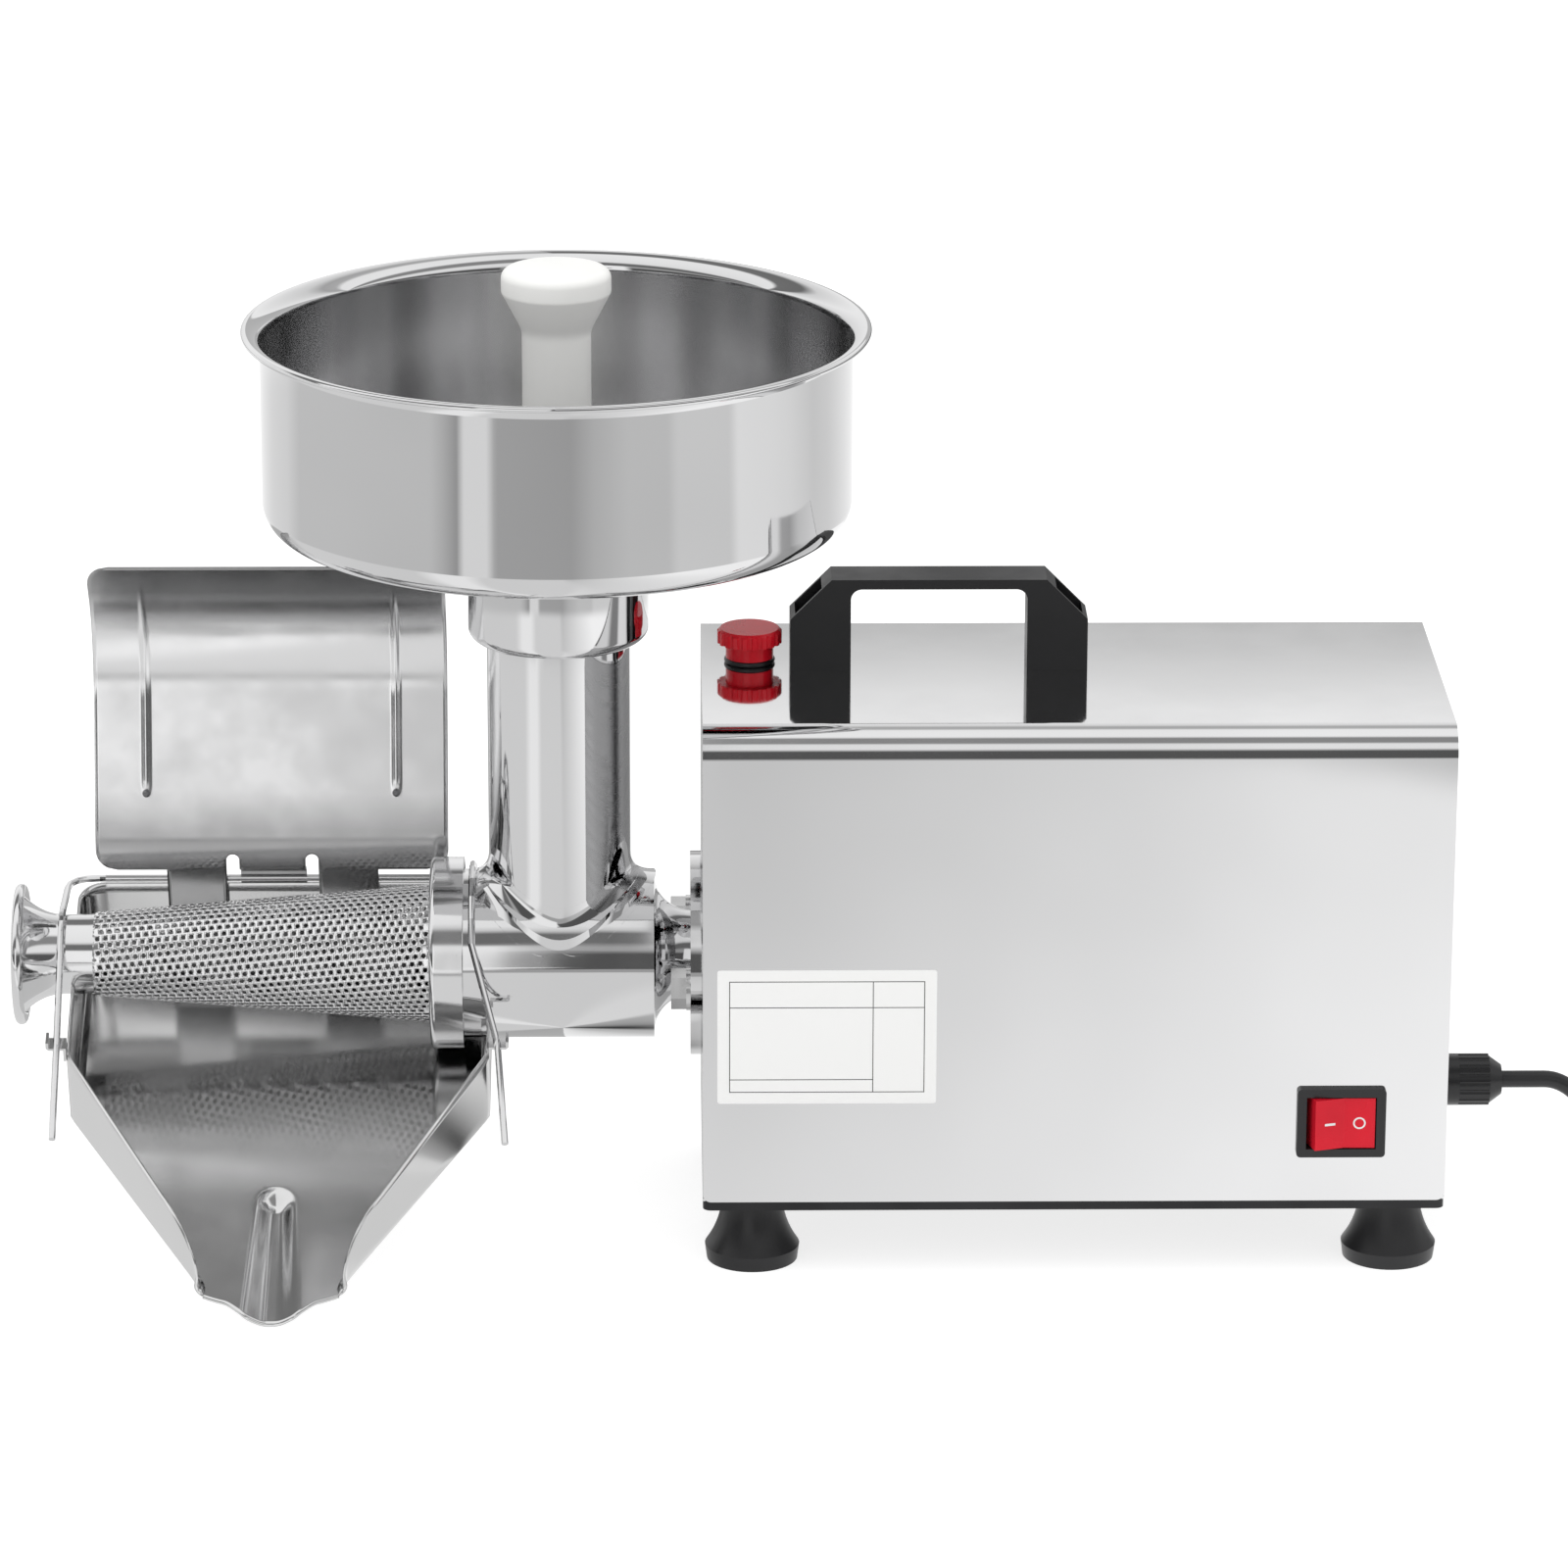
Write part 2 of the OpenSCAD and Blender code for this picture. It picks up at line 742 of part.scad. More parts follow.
module carry_handle() {
  well_w = handle_leg_w - 2 * handle_wall;
  color(dark) machine() translate([handle_x, handle_y, top_z]) difference() {
    rotate([90, 0, 0]) lift(-handle_d / 2) linear_extrude(handle_d) difference() {
      handle_outline(0);
      handle_window();
    }
    for (x = [handle_wall, handle_l - handle_leg_w + handle_wall])
      translate([x, -handle_d / 2 + handle_wall, handle_floor])
        cube([well_w, handle_d - 2 * handle_wall, handle_h - handle_bar_t - handle_floor]);
    for (x = [handle_leg_w / 2, handle_l - handle_leg_w / 2]) translate([x, 0, -eps])
      cylinder(r = handle_screw_r + run_gap, h = handle_floor - handle_screw_tip + 2 * eps);
  }
}

module handle_screws() {
  color("silver") machine() for (x = handle_screw_x) translate([x, handle_y, top_z]) {
    lift(-housing_t - handle_screw_head_h) cylinder(r = handle_screw_head_r, h = handle_screw_head_h, $fn = 6);
    lift(-housing_t) cylinder(r = handle_screw_r, h = housing_t + handle_floor - handle_screw_tip);
  }
}

// Oil filler
module oil_filler_neck() {
  color("silver") machine() translate([cap_x, cap_y, 0]) difference() {
    union() {
      lift(case_top_at_cap) cylinder(r = neck_tube_r, h = top_z - run_gap - case_top_at_cap);
      lift(top_z - housing_t - neck_tube_collar_h) cylinder(r = neck_tube_collar_r, h = neck_tube_collar_h);
    }
    lift(case_top_at_cap - eps) cylinder(r = cap_stem_r + run_gap, h = top_z - case_top_at_cap + 2 * eps);
  }
}

module oil_cap_ring() {
  tube = cap_ring_h / 2;
  color(dark) machine() translate([cap_x, cap_y, top_z + tube]) rotate_extrude() {
    translate([cap_ring_r - tube, 0]) circle(tube);
    translate([cap_stem_r + run_gap, -tube]) square([cap_ring_r - tube - cap_stem_r - run_gap, cap_ring_h]);
  }
}

module oil_cap() {
  z0 = top_z + cap_ring_h;
  color("crimson") machine() translate([cap_x, cap_y, z0]) difference() {
    union() {
      cylinder(r = cap_neck_r, h = cap_neck_h);
      lift(cap_neck_h) cylinder(r = cap_head_r, h = cap_head_h - cap_dome_h);
      lift(cap_neck_h + cap_head_h - cap_dome_h)
        cylinder(r1 = cap_head_r, r2 = cap_head_r - cap_dome_h, h = cap_dome_h);
      lift(-cap_ring_h - cap_stem_l) cylinder(r = cap_stem_r, h = cap_ring_h + cap_stem_l);
    }
    for (i = [0:cap_grooves - 1]) rotate(i * 360 / cap_grooves)
      translate([cap_head_r + cap_groove_r / 3, 0, cap_neck_h - eps])
        cylinder(r = cap_groove_r, h = cap_head_h + 2 * eps);
    lift(-cap_ring_h - cap_stem_l - eps) cylinder(r = cap_stem_r / 2, h = cap_stem_l);
  }
}

// Switch
module rounded_plate(w, h, r) {
  square([w - 2 * r, h], center = true);
  square([w, h - 2 * r], center = true);
  for (x = [-1, 1], y = [-1, 1]) translate([x * (w / 2 - r), y * (h / 2 - r)]) circle(r);
}

module switch_frame() { machine() translate([switch_x, -half_d, switch_z]) rotate([90, 0, 0]) children(); }

module switch_bezel() {
  color(dark) switch_frame() difference() {
    union() {
      linear_extrude(switch_proud) rounded_plate(switch_w, switch_h, switch_corner_r);
      translate([-switch_box_w / 2, -switch_box_h / 2, -switch_depth]) cube([switch_box_w, switch_box_h, switch_depth]);
      for (x = [-1, 0, 1]) translate([x * switch_box_w / 3 - terminal_t / 2, -terminal_w / 2, -switch_depth - terminal_l])
        cube([terminal_t, terminal_w, terminal_l]);
    }
    translate([-rocker_w / 2 - rocker_gap, -rocker_h / 2 - rocker_gap, -rocker_pocket_d])
      cube([rocker_w + 2 * rocker_gap, rocker_h + 2 * rocker_gap, rocker_pocket_d + switch_proud + eps]);
    lift(-rocker_pivot_d) rotate([90, 0, 0]) lift(-switch_box_h / 2 - eps)
      cylinder(r = rocker_pin_r + run_gap, h = switch_box_h + 2 * eps);
  }
}

rocker_half = rocker_w / 2;
rocker_face = rocker_pivot_d + switch_proud + rocker_edge;
rocker_pocket_d = rocker_pivot_d + rocker_half * sin(rocker_throw) + rocker_gap;
rocker_reach = (rocker_half - rocker_face * sin(rocker_throw / 2)) / cos(rocker_throw / 2);

// The rocker stands at its off stop: the O half is flush and the other half is out
module rocker_outline() {
  dip = rocker_half * tan(rocker_throw / 2);
  rotate(-rocker_throw / 2) polygon([
    [-rocker_half, 0], [-rocker_reach, rocker_face], [0, rocker_face - dip], [rocker_reach, rocker_face],
    [rocker_half, 0], [rocker_half / 2, -rocker_edge], [-rocker_half / 2, -rocker_edge]
  ]);
}

module switch_rocker() {
  color("red") switch_frame() lift(-rocker_pivot_d) {
    rotate([90, 0, 0]) lift(-rocker_h / 2)
      linear_extrude(rocker_h) rocker_outline();
    rotate([90, 0, 0]) lift(-switch_box_h / 2) cylinder(r = rocker_pin_r, h = switch_box_h);
  }
}

// Cable gland
module gland_frame() { drive_frame(0, gland_z, housing_l) children(); }

module gland_body() {
  color(dark) gland_frame() difference() {
    union() {
      cylinder(r = gland_d / 2, h = gland_hex_t, $fn = 6);
      lift(-housing_t - gland_thread_l) cylinder(r = gland_thread_r, h = housing_t + gland_thread_l + eps);
      lift(gland_hex_t - eps) cylinder(r = gland_thread_r - housing_t, h = gland_nut_l / 2);
    }
    lift(-housing_t - gland_thread_l - eps)
      cylinder(r = cord_r + slide_gap, h = housing_t + gland_thread_l + gland_hex_t + gland_nut_l);
  }
}

module gland_nut() {
  r = gland_d / 2;
  color(dark) gland_frame() lift(gland_hex_t) difference() {
    union() {
      cylinder(r = r, h = gland_nut_l);
      lift(gland_nut_l) cylinder(r1 = r - gland_rib_r / 2, r2 = gland_dome_tip_r, h = gland_dome_l);
    }
    for (i = [0:gland_rib_count - 1]) rotate(i * 360 / gland_rib_count)
      translate([r + gland_rib_r / 2, 0, gland_collar_l]) cylinder(r = gland_rib_r, h = gland_nut_l);
    lift(-eps) cylinder(r = gland_thread_r - housing_t + run_gap, h = gland_nut_l / 2 + 2 * eps);
    lift(gland_nut_l / 2) cylinder(r = cord_r + slide_gap, h = gland_nut_l / 2 + eps);
  }
}

module gland_lock_nut() {
  color(dark) gland_frame() lift(-housing_t - gland_lock_gap - gland_lock_t) difference() {
    cylinder(r = gland_d / 2, h = gland_lock_t, $fn = 6);
    lift(-eps) cylinder(r = gland_thread_r + run_gap, h = gland_lock_t + 2 * eps);
  }
}

// Gears: the flank is the involute of the base circle
function involute_angle(base_r, r) = let (a = acos(min(1, base_r / r))) tan(a) * 180 / PI - a;
function tooth_half_angle(m, teeth, r) =
  let (pitch_r = m * teeth / 2, base_r = pitch_r * cos(pressure_angle))
  90 / teeth - backlash / 4 / pitch_r * 180 / PI + involute_angle(base_r, pitch_r) - involute_angle(base_r, max(r, base_r));
function tooth_points(m, teeth) =
  let (pitch_r = m * teeth / 2, base_r = pitch_r * cos(pressure_angle),
    root_r = pitch_r - dedendum_share * m, tip_r = pitch_r + addendum_share * m, foot = max(base_r, root_r))
  concat([[root_r, tooth_half_angle(m, teeth, root_r)]],
    [for (i = [0:flank_steps]) let (r = foot + (tip_r - foot) * i / flank_steps) [r, tooth_half_angle(m, teeth, r)]]);
function reversed(list) = [for (i = [len(list) - 1:-1:0]) list[i]];
function polar(r, a) = [r * cos(a), r * sin(a)];
function gear_points(m, teeth) = let (flank = tooth_points(m, teeth)) [
  for (i = [0:teeth - 1], point = concat([for (p = flank) [p[0], -p[1]]], [for (p = reversed(flank)) p]))
    polar(point[0], point[1] + i * 360 / teeth)
];

module gear(m, teeth, w, bore_r, phase) {
  linear_extrude(w) difference() {
    rotate(phase) polygon(gear_points(m, teeth));
    circle(bore_r);
  }
}

stage2_angle = drive_angle(lay_y, lay_z - axis_z);
stage1_angle = drive_angle(motor_y - lay_y, motor_z - lay_z);
half_turn = 180;

module output_gear() {
  root_r = stage2_module * (output_teeth / 2 - dedendum_share);
  rim_r = root_r - 2 * stage2_module;
  color("goldenrod") drive_frame(0, axis_z, output_gear_x) difference() {
    gear(stage2_module, output_teeth, output_gear_w, output_shaft_r + run_gap / 2, stage2_angle);
    for (z = [-eps, (output_gear_w + web_t) / 2]) lift(z) difference() {
      cylinder(r = rim_r, h = (output_gear_w - web_t) / 2 + eps);
      lift(-eps) cylinder(r = hub_r, h = output_gear_w);
    }
  }
}

module lay_pinion() {
  color("darkgray") drive_frame(lay_y, lay_z, output_gear_x - pinion_extra)
    gear(stage2_module, lay_pinion_teeth, output_gear_w + 2 * pinion_extra, lay_shaft_r + run_gap / 2,
      stage2_angle + half_turn + half_turn / lay_pinion_teeth);
}

module lay_gear() {
  root_r = stage1_module * (lay_gear_teeth / 2 - dedendum_share);
  color("goldenrod") drive_frame(lay_y, lay_z, lay_gear_x) difference() {
    gear(stage1_module, lay_gear_teeth, lay_gear_w, lay_shaft_r + run_gap / 2, stage1_angle);
    for (i = [0:5]) rotate(i * 60) translate([(root_r + lay_hub_r) / 2, 0, -eps])
      cylinder(r = (root_r - lay_hub_r) / 2 - stage1_module * 2, h = lay_gear_w + 2 * eps);
  }
}

module motor_pinion() {
  color("darkgray") drive_frame(motor_y, motor_z, lay_gear_x - pinion_extra)
    gear(stage1_module, motor_pinion_teeth, lay_gear_w + 2 * pinion_extra, motor_shaft_r + run_gap / 2,
      stage1_angle + half_turn + half_turn / motor_pinion_teeth);
}

// Gearbox
case_rise_at_cap = sqrt(pow(case_lay_r + case_wall, 2) - pow(cap_y - lay_y, 2));
case_top_at_cap = lay_z + case_rise_at_cap - neck_tube_foot / 2;
case_bolt_places = [
  [0, axis_z, case_out_r, 100], [0, axis_z, case_out_r, 190], [0, axis_z, case_out_r, 280],
  [lay_y, lay_z, case_lay_r, 40], [lay_y, lay_z, case_lay_r, 135], [motor_y, motor_z, case_motor_r, 320]
];

// Local x points down and local y points to the back of the machine
module case_section(grow) {
  translate([-axis_z, 0]) circle(case_out_r + grow);
  translate([-lay_z, lay_y]) circle(case_lay_r + grow);
  translate([-motor_z, motor_y]) circle(case_motor_r + grow);
}

module case_bolt_at(place) {
  translate([-place[1], place[0]]) rotate(half_turn - place[3])
    translate([place[2] + case_wall + case_bolt_pad_out, 0]) children();
}

module gearbox_frame(x) { machine() translate([x, 0, 0]) aim_x() children(); }

module bolted_section(grow) {
  difference() {
    union() {
      case_section(grow);
      for (p = case_bolt_places) case_bolt_at(p) circle(case_bolt_pad_r);
    }
    for (p = case_bolt_places) case_bolt_at(p) circle(case_bolt_r + run_gap);
  }
}

module gearbox_case() {
  color("slategray") difference() {
    gearbox_frame(case_x) difference() {
      union() {
        linear_extrude(case_l) bolted_section(case_wall);
        translate([-axis_z, 0, -nose_l]) cylinder(r = nose_r, h = nose_l + eps);
      }
      lift(case_front_t) linear_extrude(case_l) case_section(0);
      translate([-axis_z, 0, -nose_l - eps]) cylinder(r = output_shaft_r + slide_gap, h = case_l);
      translate([-axis_z, 0, case_front_t - bearing_w]) cylinder(r = output_bearing_r + run_gap / 2, h = bearing_w + eps);
      translate([-lay_z, lay_y, case_front_t - bearing_w])
        cylinder(r = lay_bearing_r + run_gap / 2, h = bearing_w + eps);
    }
    for (side = [-1, 1]) machine() bolt_place(side) lift(-case_x - bolt_grip - eps)
      cylinder(r = bolt_r + run_gap, h = bolt_grip + case_x);
    machine() translate([cap_x, cap_y, case_top_at_cap]) cylinder(r = neck_tube_r + run_gap / 2, h = top_z);
    machine() translate([cap_x, cap_y, lay_z]) cylinder(r = cap_stem_r, h = case_lay_r + case_wall);
  }
}

output_bearing_r = output_shaft_r + bearing_ring_t + run_gap;
lay_bearing_r = lay_shaft_r + bearing_ring_t + run_gap;
motor_bearing_r = motor_shaft_r + motor_bearing_ring_t + run_gap;

module gearbox_gasket() {
  color("tan") gearbox_frame(case_x + case_l) linear_extrude(gasket_t) difference() {
    bolted_section(case_wall);
    case_section(0);
  }
}

module gearbox_cover() {
  color("slategray") gearbox_frame(cover_x) difference() {
    linear_extrude(cover_t) bolted_section(case_wall);
    translate([-axis_z, 0, -eps]) cylinder(r = output_bearing_r + run_gap / 2, h = bearing_w + eps);
    translate([-lay_z, lay_y, -eps]) cylinder(r = lay_bearing_r + run_gap / 2, h = bearing_w + eps);
    translate([-motor_z, motor_y, -eps]) cylinder(r = motor_shaft_r + slide_gap, h = cover_t + 2 * eps);
  }
}

module gearbox_bolts() {
  color("silver") gearbox_frame(cover_x + cover_t) for (p = case_bolt_places) case_bolt_at(p) {
    cylinder(r = case_bolt_head_r, h = case_bolt_head_h, $fn = 6);
    lift(-cover_t - gasket_t - case_l / 2) cylinder(r = case_bolt_r, h = cover_t + gasket_t + case_l / 2);
  }
}

module bearing_ring(inner_r, outer_r, w) {
  rotate_extrude() translate([inner_r + run_gap, 0]) square([outer_r - inner_r - run_gap, w]);
}

module output_bearings() {
  color("silver") {
    drive_frame(0, axis_z, case_x + case_front_t - bearing_w) bearing_ring(output_shaft_r, output_bearing_r, bearing_w);
    drive_frame(0, axis_z, cover_x) bearing_ring(output_shaft_r, output_bearing_r, bearing_w);
  }
}

module lay_bearings() {
  color("silver") {
    drive_frame(lay_y, lay_z, case_x + case_front_t - bearing_w) bearing_ring(lay_shaft_r, lay_bearing_r, bearing_w);
    drive_frame(lay_y, lay_z, cover_x) bearing_ring(lay_shaft_r, lay_bearing_r, bearing_w);
  }
}

// The output shaft runs from the gearbox through the neck into the auger
module output_shaft() {
  reach = barrel_start + seal_wall;
  color("silver") {
    drive_frame(0, axis_z) cylinder(r = output_shaft_r, h = output_shaft_in);
    head_frame() cylinder(r = output_shaft_r, h = reach);
    head_frame() translate([-drive_af / 2, -drive_af / 2, reach - eps]) cube([drive_af, drive_af, drive_l + eps]);
  }
}

module lay_shaft() {
  color("silver") drive_frame(lay_y, lay_z, lay_shaft_x0) cylinder(r = lay_shaft_r, h = lay_shaft_x1 - lay_shaft_x0);
}

// Motor
module motor_frame(x) { drive_frame(motor_y, motor_z, x) children(); }

module motor_stator() {
  color("gray") motor_frame(stator_x) linear_extrude(stator_l) difference() {
    circle(stator_r);
    circle(rotor_r + rotor_gap);
    for (i = [0:stator_slots - 1]) rotate(i * 360 / stator_slots)
      translate([rotor_r + stator_slot_in, -stator_slot_w / 2]) square([stator_slot_l, stator_slot_w]);
  }
}

module motor_bell() {
  difference() {
    cylinder(r = stator_r, h = bell_depth);
    lift(bell_t) cylinder(r = stator_r - bell_wall, h = bell_depth);
    lift(-eps) cylinder(r = motor_bearing_r + run_gap / 2, h = bell_t + 2 * eps);
    for (i = [0:bell_port_count - 1]) rotate(i * 360 / bell_port_count)
      translate([(stator_r + motor_bearing_r) / 2, 0, -eps]) cylinder(r = bell_port_r, h = bell_t + 2 * eps);
  }
}

module motor_front_bell() { color("lightslategray") motor_frame(motor_x) motor_bell(); }
module motor_rear_bell() {
  color("lightslategray") motor_frame(motor_end_x) mirror([0, 0, 1]) motor_bell();
}

module motor_bearings() {
  color("silver") for (x = [motor_x, motor_end_x - bell_t]) motor_frame(x)
    bearing_ring(motor_shaft_r, motor_bearing_r, bell_t);
}

module rotor_shaft() {
  color("silver") motor_frame(lay_gear_x - 2 * pinion_extra)
    cylinder(r = motor_shaft_r, h = fan_x + fan_w - lay_gear_x + 2 * pinion_extra);
}

module rotor_core() {
  color("tan") motor_frame(stator_x) difference() {
    cylinder(r = rotor_r, h = stator_l);
    lift(-eps) cylinder(r = motor_shaft_r + run_gap / 2, h = stator_l + 2 * eps);
  }
}

module cooling_fan() {
  color(dark) motor_frame(fan_x) difference() {
    union() {
      cylinder(r = fan_hub_r, h = fan_w);
      lift(fan_w - fan_disc_t) cylinder(r = fan_r, h = fan_disc_t);
      for (i = [0:fan_blades - 1]) rotate(i * 360 / fan_blades) translate([fan_hub_r - fan_disc_t, -fan_blade_t / 2, 0])
        cube([fan_r - fan_hub_r, fan_blade_t, fan_w]);
    }
    lift(-eps) cylinder(r = motor_shaft_r + run_gap / 2, h = fan_w + 2 * eps);
  }
}

module motor_cradle() {
  width = cradle_span;
  color("dimgray") machine() difference() {
    translate([stator_x + (stator_l - cradle_w) / 2, motor_y - width / 2, housing_z])
      cube([cradle_w, width, motor_z - housing_z]);
    translate([stator_x, motor_y, motor_z]) aim_x() cylinder(r = stator_r + seam_gap, h = stator_l);
    translate([stator_x, motor_y - width / 2 + cradle_t, housing_z + cradle_t])
      cube([stator_l, width - 2 * cradle_t, cradle_window_h]);
  }
}

cradle_window_h = motor_z - stator_r - housing_z - 3 * cradle_t;

module start_capacitor() {
  y = half_d - housing_t - capacitor_r - capacitor_gap;
  color("white") drive_frame(y, housing_z + capacitor_r + seam_gap, motor_x) {
    cylinder(r = capacitor_r, h = capacitor_l);
    lift(capacitor_l) cylinder(r = capacitor_r / 3, h = capacitor_gap);
  }
}

module terminal_block() {
  color("ivory") machine() translate([housing_l - switch_inset_x - terminal_size[0], terminal_y, housing_z])
    difference() {
      cube(terminal_size);
      for (i = [1:3]) translate([i * terminal_size[0] / 4, terminal_size[1] / 2, terminal_size[2] / 3])
        cylinder(r = terminal_size[1] / 8, h = terminal_size[2]);
    }
}

// Press head
module bolt_place(side) {
  lift(axis_z) rotate([0, -90, 0]) rotate(side > 0 ? 90 - bolt_turn : 270 - bolt_turn)
    translate([bolt_circle_r, 0, 0]) children();
}

module press_profile() {
  difference() {
    union() {
      square([flange_r, flange_t]);
      difference() {
        square([neck_r + flare_r, barrel_start]);
        translate([neck_r + flare_r, barrel_start - flare_r]) circle(flare_r);
      }
      translate([0, barrel_start]) square([barrel_r, barrel_l]);
    }
    translate([0, barrel_start + seal_wall]) square([bore_r, barrel_l]);
    square([neck_bore_r, barrel_start + seal_wall]);
    square([nose_r + run_gap, nose_reach + seam_gap]);
    translate([0, barrel_start]) square([seal_r + run_gap, seal_w]);
  }
}

module press_body() {
  color("lightgray") head_frame() difference() {
    union() {
      rotate_extrude() press_profile();
      difference() {
        lift(tube_s) aim_x() cylinder(r = tube_r, h = tube_h);
        cylinder(r = bore_r, h = barrel_end);
      }
      intersection() {
        lift(tube_s) aim_x() cylinder(r = tube_r + saddle_w, h = flange_r);
        difference() {
          lift(barrel_start) cylinder(r = barrel_r + saddle_t, h = ring_start - barrel_start - slide_gap);
          cylinder(r = bore_r, h = barrel_end);
        }
      }
      for (i = [0:lug_count - 1]) rotate(i * 360 / lug_count) bayonet_lug();
    }
    lift(tube_s) aim_x() cylinder(r = tube_bore_r, h = tube_h + eps);
    for (side = [-1, 1]) rotate(side > 0 ? 90 - bolt_turn : 270 - bolt_turn) translate([bolt_circle_r, 0, -eps]) {
      cylinder(r = bolt_slot_w / 2, h = flange_t + 2 * eps);
      translate([0, -bolt_slot_w / 2, 0]) cube([flange_r, bolt_slot_w, flange_t + 2 * eps]);
    }
  }
}

module ring_sector(inner_r, outer_r, angle) {
  difference() {
    intersection() {
      circle(outer_r);
      polygon([[0, 0], polar(2 * outer_r, -angle / 2), polar(2 * outer_r, angle / 2)]);
    }
    circle(inner_r);
  }
}

module bayonet_lug() {
  lift(lug_s) linear_extrude(lug_w) ring_sector(bore_r + barrel_wall / 2, barrel_r + lug_h, lug_angle);
}

module shaft_seal() {
  color(dark) head_frame() lift(barrel_start)
    bearing_ring(output_shaft_r + run_gap / 2, seal_r, seal_w);
}

module flange_bolts() {
  color("silver") machine() for (side = [-1, 1]) bolt_place(side) {
    lift(flange_t + washer_t) cylinder(d = bolt_head_af / cos(30), h = bolt_head_h, $fn = 6);
    lift(-case_x - bolt_grip) cylinder(r = bolt_r, h = flange_t + washer_t + case_x + bolt_grip);
  }
}

module flange_washers() {
  color("silver") machine() for (side = [-1, 1]) bolt_place(side) lift(flange_t) difference() {
    cylinder(r = washer_r, h = washer_t);
    lift(-eps) cylinder(r = bolt_r + run_gap, h = washer_t + 2 * eps);
  }
}

// Auger: one section, a core with one flight, twisted along the axis
module auger_section(core_r, flight_r, angle) {
  core_step = (360 - angle) / auger_core_points;
  polygon(concat(
    [for (i = [0:auger_core_points]) polar(core_r, angle / 2 + i * core_step)],
    [for (i = [0:auger_arc_points]) polar(flight_r, -angle / 2 + i * angle / auger_arc_points)]
  ));
}

module auger() {
  step = barrel_end - 2 * slide_gap;
  barrel_part = step - auger_start;
  cone_part = screen_end - auger_end_gap - step;
  turns_a = barrel_part / auger_pitch;
  turns_b = cone_part / auger_pitch;
  cone_in = screen_big_r - screen_t - 2 * slide_gap;
  taper_share = auger_taper_end_r / cone_in;
  color("gray") head_frame() difference() {
    union() {
      lift(auger_start)
        linear_extrude(barrel_part, twist = -turns_a * 360, slices = round(turns_a * auger_slices_per_turn), $fn = 12)
          auger_section(auger_core_r, auger_r, auger_flight_angle);
      lift(step) rotate(turns_a * 360)
        linear_extrude(cone_part, twist = -turns_b * 360, scale = taper_share,
          slices = round(turns_b * auger_slices_per_turn), $fn = 12)
          auger_section(auger_core_r - slide_gap, cone_in, auger_cone_flight_angle);
    }
    translate([-drive_af / 2 - drive_gap, -drive_af / 2 - drive_gap, auger_start - eps])
      cube([drive_af + 2 * drive_gap, drive_af + 2 * drive_gap, drive_l + eps]);
  }
}

// Screen cone, lock ring and outlet
module screen_gasket() {
  color("ivory") head_frame() lift(barrel_end) difference() {
    cylinder(r = screen_flange_r, h = gasket_screen_t);
    lift(-eps) cylinder(r = bore_r, h = gasket_screen_t + 2 * eps);
  }
}

module screen_profile() {
  big = screen_big_r;
  small = screen_small_r;
  t = screen_t;
  tip = screen_flange_t + screen_cone_l;
  end = tip + end_collar_l;
  polygon([
    [big - t, 0], [screen_flange_r, 0], [screen_flange_r, screen_flange_t], [big, screen_flange_t],
    [small, tip], [small, end], [small - t, end], [small - t, tip], [big - t, screen_flange_t]
  ]);
}

module screen_cone() {
  color("silver") head_frame() lift(screen_start) difference() {
    rotate_extrude() screen_profile();
    for (row = [0:screen_rows - 1]) {
      along = hole_margin + row * (screen_cone_l - 2 * hole_margin) / (screen_rows - 1);
      wall_r = screen_big_r + (screen_small_r - screen_big_r) * along / screen_cone_l;
      for (i = [0:screen_row_holes - 1]) rotate((i + (row % 2) / 2) * 360 / screen_row_holes)
        translate([wall_r - 2 * screen_t, 0, screen_flange_t + along]) aim_x()
          cylinder(d = screen_hole_d, h = 3 * screen_t);
    }
  }
}

module outlet_profile() {
  l = outlet_l - rim_roll_r;
  r = outlet_flare_r;
  translate([outlet_neck_r - outlet_t, 0]) square([outlet_t, outlet_neck_l]);
  intersection() {
    translate([outlet_neck_r + r, outlet_neck_l]) difference() {
      circle(r + outlet_t);
      circle(r);
    }
    translate([0, outlet_neck_l]) square([outlet_neck_r + outlet_flare_w, outlet_flare_l]);
  }
  translate([outlet_r - rim_roll_r, l]) difference() {
    circle(rim_roll_r);
    circle(rim_roll_r - outlet_t);
  }
}

module waste_outlet() {
  color("silver") head_frame() lift(screen_end + end_collar_l) rotate_extrude() outlet_profile();
}

module lock_ring_profile() {
  difference() {
    union() {
      square([ring_r, ring_w - ring_round_r]);
      square([ring_r - ring_round_r, ring_w]);
      translate([ring_r - ring_round_r, ring_w - ring_round_r]) circle(ring_round_r);
    }
    square([ring_bore_r, ring_w - ring_lip_t]);
    square([ring_lip_bore_r, ring_w]);
    translate([0, ring_rim_w]) square([ring_groove_r, ring_w - ring_lip_t - ring_rim_w]);
  }
}

module lock_ring() {
  entry = lug_angle + lug_entry_play;
  color("silver") head_frame() lift(ring_start) difference() {
    rotate_extrude() lock_ring_profile();
    for (i = [0:lug_count - 1]) rotate(i * 360 / lug_count + ring_turn) lift(-eps)
      linear_extrude(ring_rim_w + 2 * eps) ring_sector(ring_bore_r / 2, ring_entry_r, entry);
  }
}

// Hopper: pan with a flared rim, socket below it
module pan_solid(inset) {
  r = pan_r - inset;
  c = pan_corner_r - inset;
  translate([0, inset]) {
    square([r - c, pan_h]);
    translate([0, c]) square([r, pan_h]);
    translate([r - c, c]) circle(c);
  }
}

